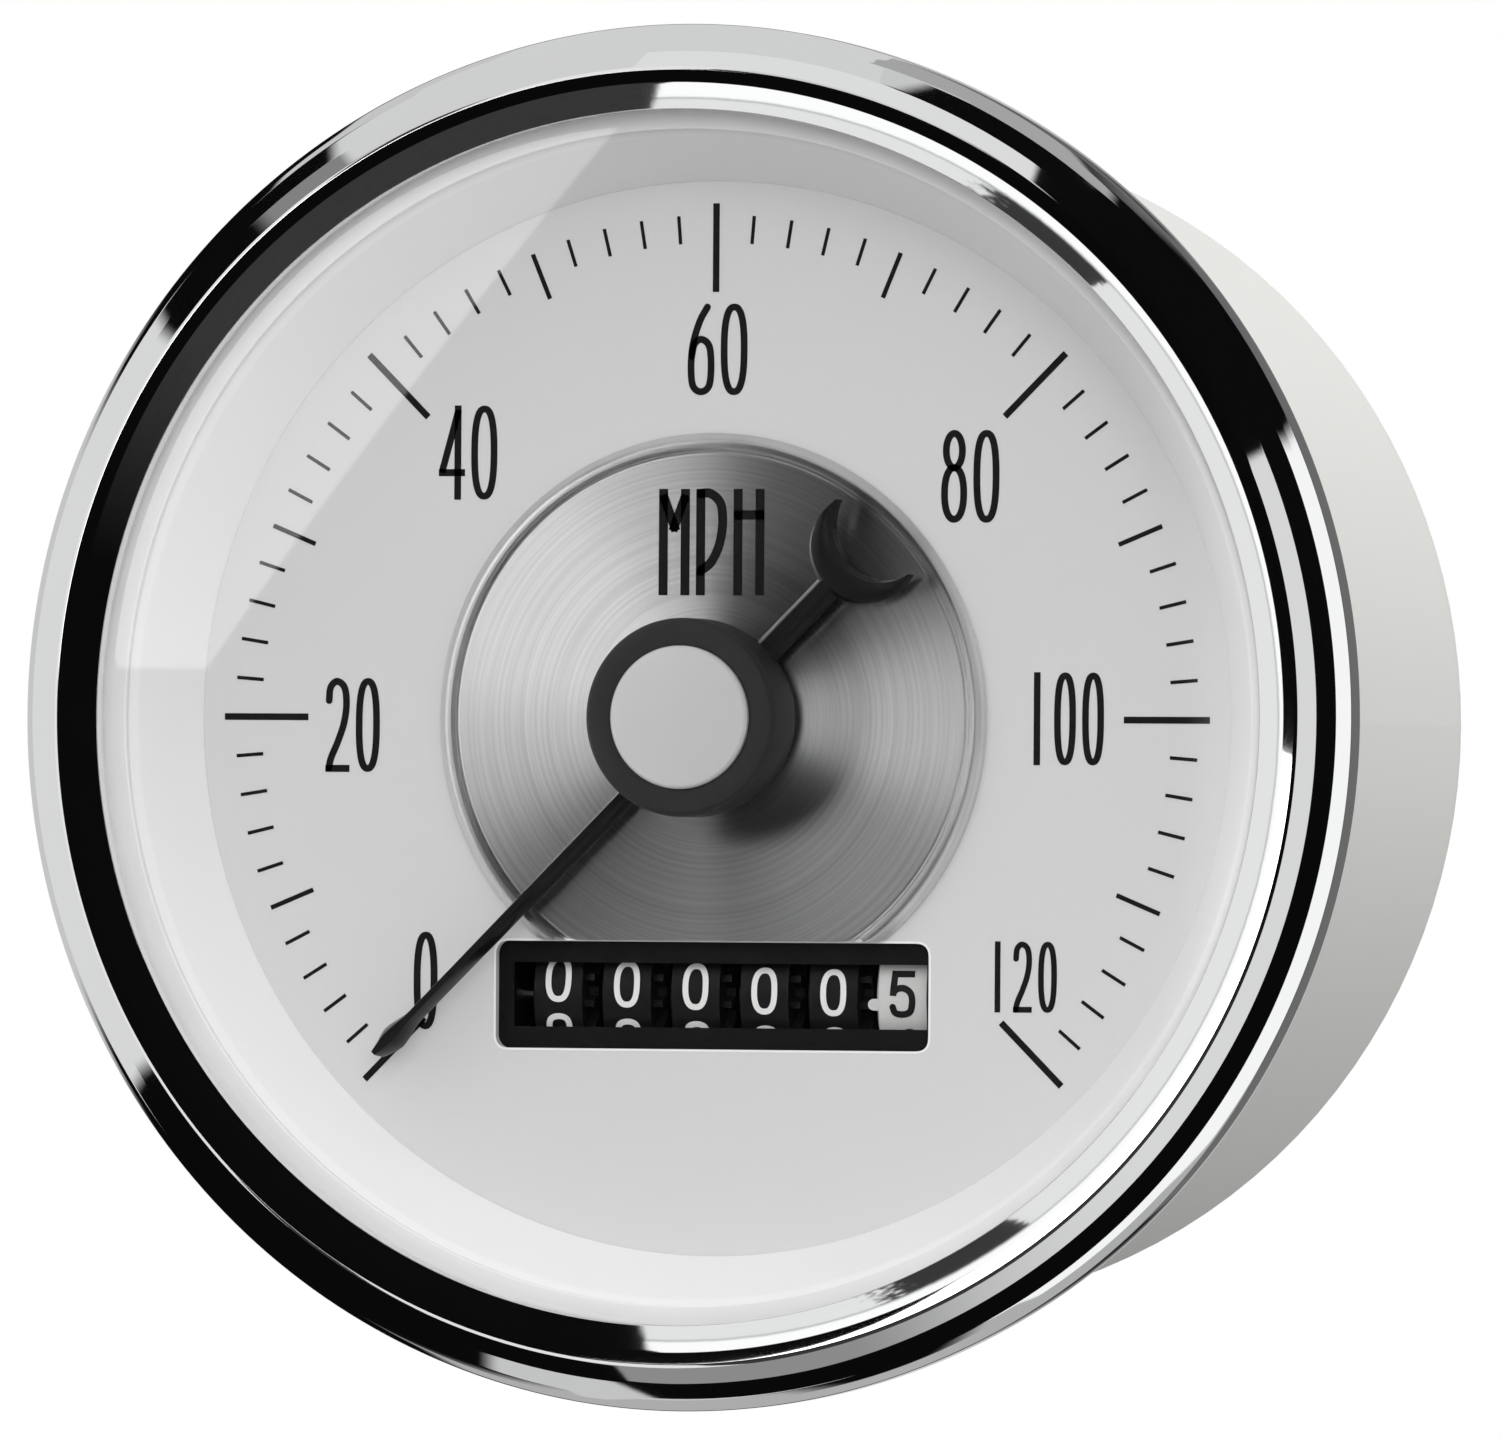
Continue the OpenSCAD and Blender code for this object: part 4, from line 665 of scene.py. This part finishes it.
name, tenths_x, tenths_lift, shown = wheels[-1]
lug_depth = 0.5
lug = pen([[-1.9, -0.68], [-1.3, -0.68]], 0.75, 0.35) - np.array([0, 0, lug_depth])
lugs = [rolled(lug, tenths_x, tenths_lift / rim_r + one_figure * step) for step in range(10)]
skin("lugs_tenths", lugs, "wheel_tenths_body", wheel_white)

# Odometer mask: a stamped steel plate, painted matt black, that lies against the dial's back. The wheels show
# through its one window.
mask_paint = material("mask_paint", (0.007, 0.007, 0.007), 0.5, size=0.3, patch=4, relief=0.006, shade=0.2,
                      Specular_IOR_Level=0.15)
dress(mask_paint, "odometer_mask")

# Dial plate: a steel sheet, stoved white and screen-printed with its scale in black. The cut edge of the
# odometer's opening shows as a thin bright line, a painted highlight whiter than the dial's own paint.
dial_white = material("dial_white", (0.70, 0.70, 0.70), 0.45, size=0.5, patch=20, relief=0.003, shade=0.008,
                      haze=0.04)
print_black = material("print_black", (0.010, 0.010, 0.011), 0.5, size=0.15, patch=3, relief=0.002,
                       shade=0.1, Specular_IOR_Level=0.1)
dress(dial_white, "dial_plate")


def printed(ribbons, face):
    """Ribbons laid on a flat face at that depth: u is x, v is z, and height comes towards the driver."""
    return [np.stack([r[..., 0], face - r[..., 2], r[..., 1]], axis=-1) for r in ribbons]


opening_x, opening_low, opening_high = 14.1, -20.6, -13.8
opening = soften([[-opening_x, opening_low], [opening_x, opening_low], [opening_x, opening_high],
                  [-opening_x, opening_high]], 0.9, steps=6, loop=True)
# painted highlight: a thin line, whiter than the dial, laid flat round the opening's cut edge
edge_highlight = material("edge_highlight", (0.92, 0.92, 0.92), 0.4, size=0.1, patch=1, shade=0.05)
skin("opening_edge_highlight", printed([pen(opening, 0.14, 0.02)], dial_face), "housing", edge_highlight)

long_tick, middle_tick, short_tick = (26.45, 31.95, 0.42), (28.2, 31.2, 0.29), (29.5, 31.25, 0.22)
zero_degrees, degrees_per_mph = 225, 2.25
ticks = []
for mph in range(0, 122, 2):
    a = np.radians(zero_degrees + degrees_per_mph * mph)
    inner, outer, width = long_tick if mph % 20 == 0 else middle_tick if mph % 10 == 0 else short_tick
    ends = np.array([inner + width / 2, outer - width / 2])
    ticks.append(pen(np.stack([ends * np.sin(a), ends * np.cos(a)], axis=1), width, 0.02, True))
skin("dial_ticks", printed(ticks, dial_face), "housing", print_black)
numbers = []
for text, left, right, low, high, width in (
    ("0", -19.42, -17.86, -19.45, -13.35, 0.45),
    ("20", -25.31, -21.75, -3.43, 2.44, 0.44),
    ("40", -17.99, -14.17, 13.56, 19.43, 0.44),
    ("60", -1.81, 2.07, 20.04, 25.73, 0.44),
    ("80", 14.63, 18.38, 12.14, 17.88, 0.44),
    ("100", 20.19, 25.18, -2.81, 2.93, 0.42),
    ("120", 17.86, 22.27, -18.07, -13.68, 0.36),
):
    numbers += lettering(text, left, right, low, high, width)
skin("dial_numbers", printed(numbers, dial_face), "housing", print_black)

# Centre disc: an aluminium disc, brushed in circles on a lathe, with a bevelled rim and a straight cut
# above the odometer. The letters for the unit are printed on it.
disc_r, disc_face, disc_cut = 17.7, 2.9, opening_high
lines_per_metre, waver, groove_lean = 5200.0, 60.0, 0.08
brushed, tree, shader = blank("brushed_disc")
where = node(tree, "ShaderNodeTexCoord").outputs["Object"]
across = node(tree, "ShaderNodeVectorMath", {0: where, 1: (1, 0, 1)}, operation="MULTIPLY").outputs[0]
radius = node(tree, "ShaderNodeVectorMath", {0: across}, operation="LENGTH").outputs["Value"]
outwards = node(tree, "ShaderNodeVectorMath", {0: across}, operation="NORMALIZE").outputs[0]
drawn = node(tree, "ShaderNodeCombineXYZ", {0: maths(tree, "MULTIPLY", radius, lines_per_metre)}).outputs[0]
swirl = node(tree, "ShaderNodeVectorMath", {0: where, 1: [waver] * 3}, operation="MULTIPLY").outputs[0]
drawn = node(tree, "ShaderNodeVectorMath", {0: drawn, 1: swirl}, operation="ADD").outputs[0]
lines = node(tree, "ShaderNodeTexNoise", {"Vector": drawn, "Scale": 1.0, "Detail": 2.0}).outputs["Fac"]
shades = {0: lines, 6: (0.58, 0.58, 0.59, 1), 7: (1.0, 1.0, 1.0, 1)}
tint = node(tree, "ShaderNodeMix", shades, data_type="RGBA").outputs[2]
tree.links.new(tint, shader.inputs["Base Color"])
rough = node(tree, "ShaderNodeMapRange", {0: lines, 3: 0.276, 4: 0.292}).outputs[0]
tree.links.new(rough, shader.inputs["Roughness"])
shader.inputs["Metallic"].default_value = 1.0
shader.inputs["Anisotropic"].default_value = 0.93
tree.links.new(outwards, shader.inputs["Tangent"])
flat = node(tree, "ShaderNodeNewGeometry").outputs["Normal"]
leaning_out = {0: outwards, 1: [groove_lean] * 3, 2: flat}
leaning_out = node(tree, "ShaderNodeVectorMath", leaning_out, operation="MULTIPLY_ADD").outputs[0]
leaning_out = node(tree, "ShaderNodeVectorMath", {0: leaning_out}, operation="NORMALIZE").outputs[0]
tree.links.new(leaning_out, shader.inputs["Normal"])

disc_steps = np.radians(np.arange(0, 361, 2.0))
below, out_of_reach = -0.05, 1e3
chord = np.where(np.cos(disc_steps) < below, disc_cut / np.minimum(np.cos(disc_steps), below), out_of_reach)
rim_rows = np.concatenate([np.linspace(2.0, 16.3, 16), [
    16.42, 16.48, 16.54, 16.6, 16.65, 16.7, 16.8, 16.95, 17.1, 17.2, 17.3, 17.4, 17.5, 17.6, disc_r,
]])
rim_shape = np.array([
    [0, disc_face], [16.46, disc_face], [16.56, 3.02], [16.66, 3.0], [16.74, 2.58], [16.84, 2.55],
    [17.16, 2.55], [17.26, 2.6], [17.66, 3.16], [disc_r, 3.2],
])
r = np.minimum(rim_rows[:, None], chord)
y = np.interp(r, rim_shape[:, 0], rim_shape[:, 1])
front = np.stack([r * np.sin(disc_steps), y, r * np.cos(disc_steps)], axis=-1)
back = front[[-1, 0]].copy()
back[..., 1] = dial_face
skin("brushed_centre_disc", [np.concatenate([front, back, front[:1]])], "housing", brushed,
     ["centre_disc"], crease=30)

letters = {
    "M": [[[0, 0], [0, 1]], [[0.06, 0.94], [0.5, 0.66]], [[0.5, 0.66], [0.94, 0.94]], [[1, 1], [1, 0]]],
    "P": [[[0, 0], [0, 1]],
          curve([[0, 1], [0.45, 1], [0.9, 0.9], [1, 0.7], [0.86, 0.48], [0.5, 0.3], [0, 0.2]])],
    "H": [[[0, 0], [0, 1]], [[1, 0], [1, 1]], [[0, 0.78], [1, 0.78]]],
}
unit = lettering("MPH", -3.42, 3.42, 7.62, 14.22, 0.58, gap=0.42, shapes=letters)
skin("unit_letters", printed(unit, disc_face), "housing", print_black)

# Pointer: a glossy black moulding. A thin blade with sloping sides ends in a small leaf, and a crescent
# on the tail balances it. It points at 0 when the gauge is at rest.
pointer_gloss = material("pointer_gloss", (0.010, 0.010, 0.011), 0.28, size=0.3, patch=4, relief=0.001,
                         shade=0.15, haze=0.01, Specular_IOR_Level=0.18)
hub_matt = material("hub_matt", (0.016, 0.016, 0.017), 0.48, size=0.14, patch=3, relief=0.0025, shade=0.2)
cap_steel = material("cap_steel", (0.74, 0.74, 0.74), 0.50, 0.5, size=0.12, patch=5, relief=0.002,
                     shade=0.04, haze=0.05)
rest_angle = np.radians(zero_degrees)
blade_front, blade_back = 0.0, 1.5


def pointed(across, along, depth):
    """Points given across and along the pointer, turned to its place at rest."""
    c, s = np.cos(rest_angle), np.sin(rest_angle)
    return np.stack([across * c + along * s, depth + 0 * across, along * c - across * s], axis=-1)


def bar(along, half, ridge):
    """A bar with sloping sides: the half width falls to a share, ridge, of it from the base to the front."""
    half, along = half[:, None], along[:, None]
    columns = np.array([
        [-1, 1.0], [-1, 0.72], [-ridge, 0.06], [-ridge + 0.08, 0], [ridge - 0.08, 0], [ridge, 0.06],
        [1, 0.72], [1, 1.0], [-1, 1.0],
    ])
    depth = blade_front + (blade_back - blade_front) * columns[:, 1]
    body = pointed(half * columns[:, 0], along + 0 * columns[:, 0], depth)
    first, last = body[:1].copy(), body[-1:].copy()
    first[:], last[:] = body[0].mean(axis=0), body[-1].mean(axis=0)
    return np.concatenate([first, body, last])


blade_along = np.array([3.0, 6.5, 12, 20, 26.2, 26.6, 27.2, 27.8, 28.24, 28.7, 29.2, 29.5, 29.6])
blade_half = np.array([0.55, 0.53, 0.50, 0.46, 0.43, 0.46, 0.60, 0.73, 0.77, 0.68, 0.50, 0.38, 0.32])
crescent_at, crescent_r, bite_at, bite_r = -14.85, 3.42, -16.95, 3.45
tail = bar(np.array([-11.8, -8.0, -3.0]), np.full(3, 0.82), 0.5)
t = np.linspace(-1, 1, 49)[:, None]
outer_a, inner_a = np.radians(107.0) * t, np.radians(71.4) * t
outer = np.concatenate([crescent_r * np.sin(outer_a), crescent_at + crescent_r * np.cos(outer_a)], axis=1)
inner = np.concatenate([bite_r * np.sin(inner_a), bite_at + bite_r * np.cos(inner_a)], axis=1)
section = np.array([
    [0, 1.0], [0, 0.3], [0.14, 0.04], [0.3, 0], [0.7, 0], [0.86, 0.04], [1, 0.3], [1, 1.0], [0, 1.0],
])
mixed = outer[:, None] * (1 - section[:, :1]) + inner[:, None] * section[:, :1]
depth = blade_front + (blade_back - blade_front) * section[:, 1]
crescent = pointed(mixed[..., 0], mixed[..., 1], depth + 0 * mixed[..., 0])
staff_r, boss_r, hub_r, recess_r = 0.6, 5.94, 6.14, 4.43
boss = turned(soften([
    [staff_r, blade_front], [boss_r, blade_front], [boss_r, blade_back], [staff_r, blade_back],
], 0.1, loop=True), 96)
skin("moulded_pointer", [bar(blade_along, blade_half, 0.5), tail, crescent, boss], "pointer",
     pointer_gloss, ["pointer_blade"], crease=25)

# Hub: a black moulding over the blade's root, with a flat metal cap pressed into its recess. Both sit on the
# pointer's staff and turn with it.
hub_front, recess, cap_front, chamfer, cap_chamfer = -3.5, -3.2, -3.9, 0.25, 0.15
skin("moulded_hub", [turned(soften([
    [staff_r, recess], [recess_r, recess], [recess_r, hub_front], [hub_r - chamfer, hub_front],
    [hub_r, hub_front + chamfer], [hub_r, blade_front], [staff_r, blade_front],
], 0.12, loop=True))], "pointer", hub_matt, ["pointer_hub"])
skin("pressed_cap", [turned(soften([
    [0, cap_front], [recess_r - cap_chamfer, cap_front], [recess_r, cap_front + cap_chamfer],
    [recess_r, recess], [0, recess],
], 0.1))], "pointer", cap_steel, ["hub_cap"])

# Spacer ring: a white moulded funnel that holds the dial down and closes the gap to the glass. The bezel
# clamps it between the two.
gasket_back, spacer_r = -2.3, 36.8
spacer_white = material("spacer_white", (0.92, 0.92, 0.92), 0.48, size=0.4, patch=12, relief=0.004,
                        shade=0.012)
skin("white_spacer", [turned(soften([
    [36.5, gasket_back], [spacer_r, gasket_back], [spacer_r, dial_face], [33.3, dial_face], [35.9, -1.6],
], 0.12, loop=True), 240)], "housing", spacer_white, ["spacer_ring"])

# Glass: a domed glass disc with a flat rim, on a thin pale rubber gasket. Mirrored, stray and shadow rays
# pass through it, so the disc and the dial behind it get their light.
glass_r, dome_r, dome_h, glass_t, lip_back = 41.2, 37.3, 2.0, 1.6, -4.5
glass_back = lip_back + glass_t
rubber = material("gasket_rubber", (0.92, 0.92, 0.92), 0.6, size=0.3, patch=6, relief=0.004, shade=0.06)
skin("rubber_gasket", [turned(soften([
    [36.3, glass_back], [glass_r, glass_back], [glass_r, gasket_back], [36.3, gasket_back],
], 0.12, loop=True), 240)], "housing", rubber, ["lens_gasket"])

glass, tree, shader = blank("lens_glass")
shader.inputs["Roughness"].default_value = 0.0
shader.inputs["IOR"].default_value = 1.5
shader.inputs["Transmission Weight"].default_value = 1.0
mottle = grouped(tree, grain_group, {"Size": 0.004, "Patch": 0.02})["Mottle"]
tints = {0: mottle, 6: (0.985, 0.985, 0.985, 1), 7: (1, 1, 1, 1)}
tree.links.new(node(tree, "ShaderNodeMix", tints, data_type="RGBA").outputs[2], shader.inputs["Base Color"])
clear = node(tree, "ShaderNodeBsdfTransparent", {0: (0.96, 0.96, 0.96, 1)})
path = node(tree, "ShaderNodeLightPath").outputs
mirror_ray = maths(tree, "SUBTRACT", path["Is Glossy Ray"], path["Is Transmission Ray"])
unseen = maths(tree, "MAXIMUM", path["Is Shadow Ray"], path["Is Diffuse Ray"])
unseen = maths(tree, "MAXIMUM", unseen, mirror_ray)
mixed = node(tree, "ShaderNodeMixShader", {0: unseen, 1: shader.outputs[0], 2: clear.outputs[0]})
tree.links.new(mixed.outputs[0], tree.nodes["Material Output"].inputs[0])
ball_r = (dome_r**2 + dome_h**2) / (2 * dome_h)
r = np.linspace(0, dome_r, 60)
dome = lip_back - dome_h + ball_r - np.sqrt(ball_r**2 - r**2)
rim = soften([
    [dome_r, lip_back], [glass_r - 0.6, lip_back], [glass_r, lip_back + 0.4], [glass_r, glass_back],
    [dome_r, glass_back],
], 0.15)
glass_profile = np.concatenate([
    np.stack([r, dome], axis=1), rim[1:], np.stack([r[::-1], dome[::-1] + glass_t], axis=1)[1:],
])
skin("domed_glass", [turned(glass_profile, 240)], "housing", glass, ["lens"], crease=40)

# Bezel: a spun brass ring, chrome plated and buffed, rolled over the case's flange and the glass. Its
# inner lip slopes gently in and its outer face is a steep bevel with a rolled edge.
chrome = material("chrome", (0.90, 0.905, 0.91), 0.03, 1.0, size=2.5, patch=9, relief=0.0015, shade=0.015,
                  haze=0.02)
bezel_r, crest_y, lip_r, channel_r, sheet = 42.85, -6.32, 37.5, 41.6, 0.7
face = [[lip_r, -5.63], [39.1, -6.145], [39.9, crest_y], [40.08, -6.25], [41.1, -5.55], [42.1, -4.66],
        [42.45, -4.20]]
face_bends = [0.07, 0.1, 0.05, 0.08, 0.08, 0.08, 0.08]
edge = [[bezel_r, -3.57], [bezel_r, -1.7], [42.45, -0.4], [42.1, 0]]
edge_bends = [0.2, 0.4, 0.3, 0.3]
inside = [
    [37.8, 0], [38.4, -sheet], [channel_r, -sheet], [channel_r, -4.0], [41.0, lip_back], [lip_r, lip_back],
]
inside_bends = [0.2] * len(inside)
bezel_profile = soften(face + edge + inside, face_bends + edge_bends + inside_bends, steps=6, loop=True)
skin("chrome_bezel", [turned(bezel_profile, 288)], "housing", chrome, ["bezel"], crease=60)
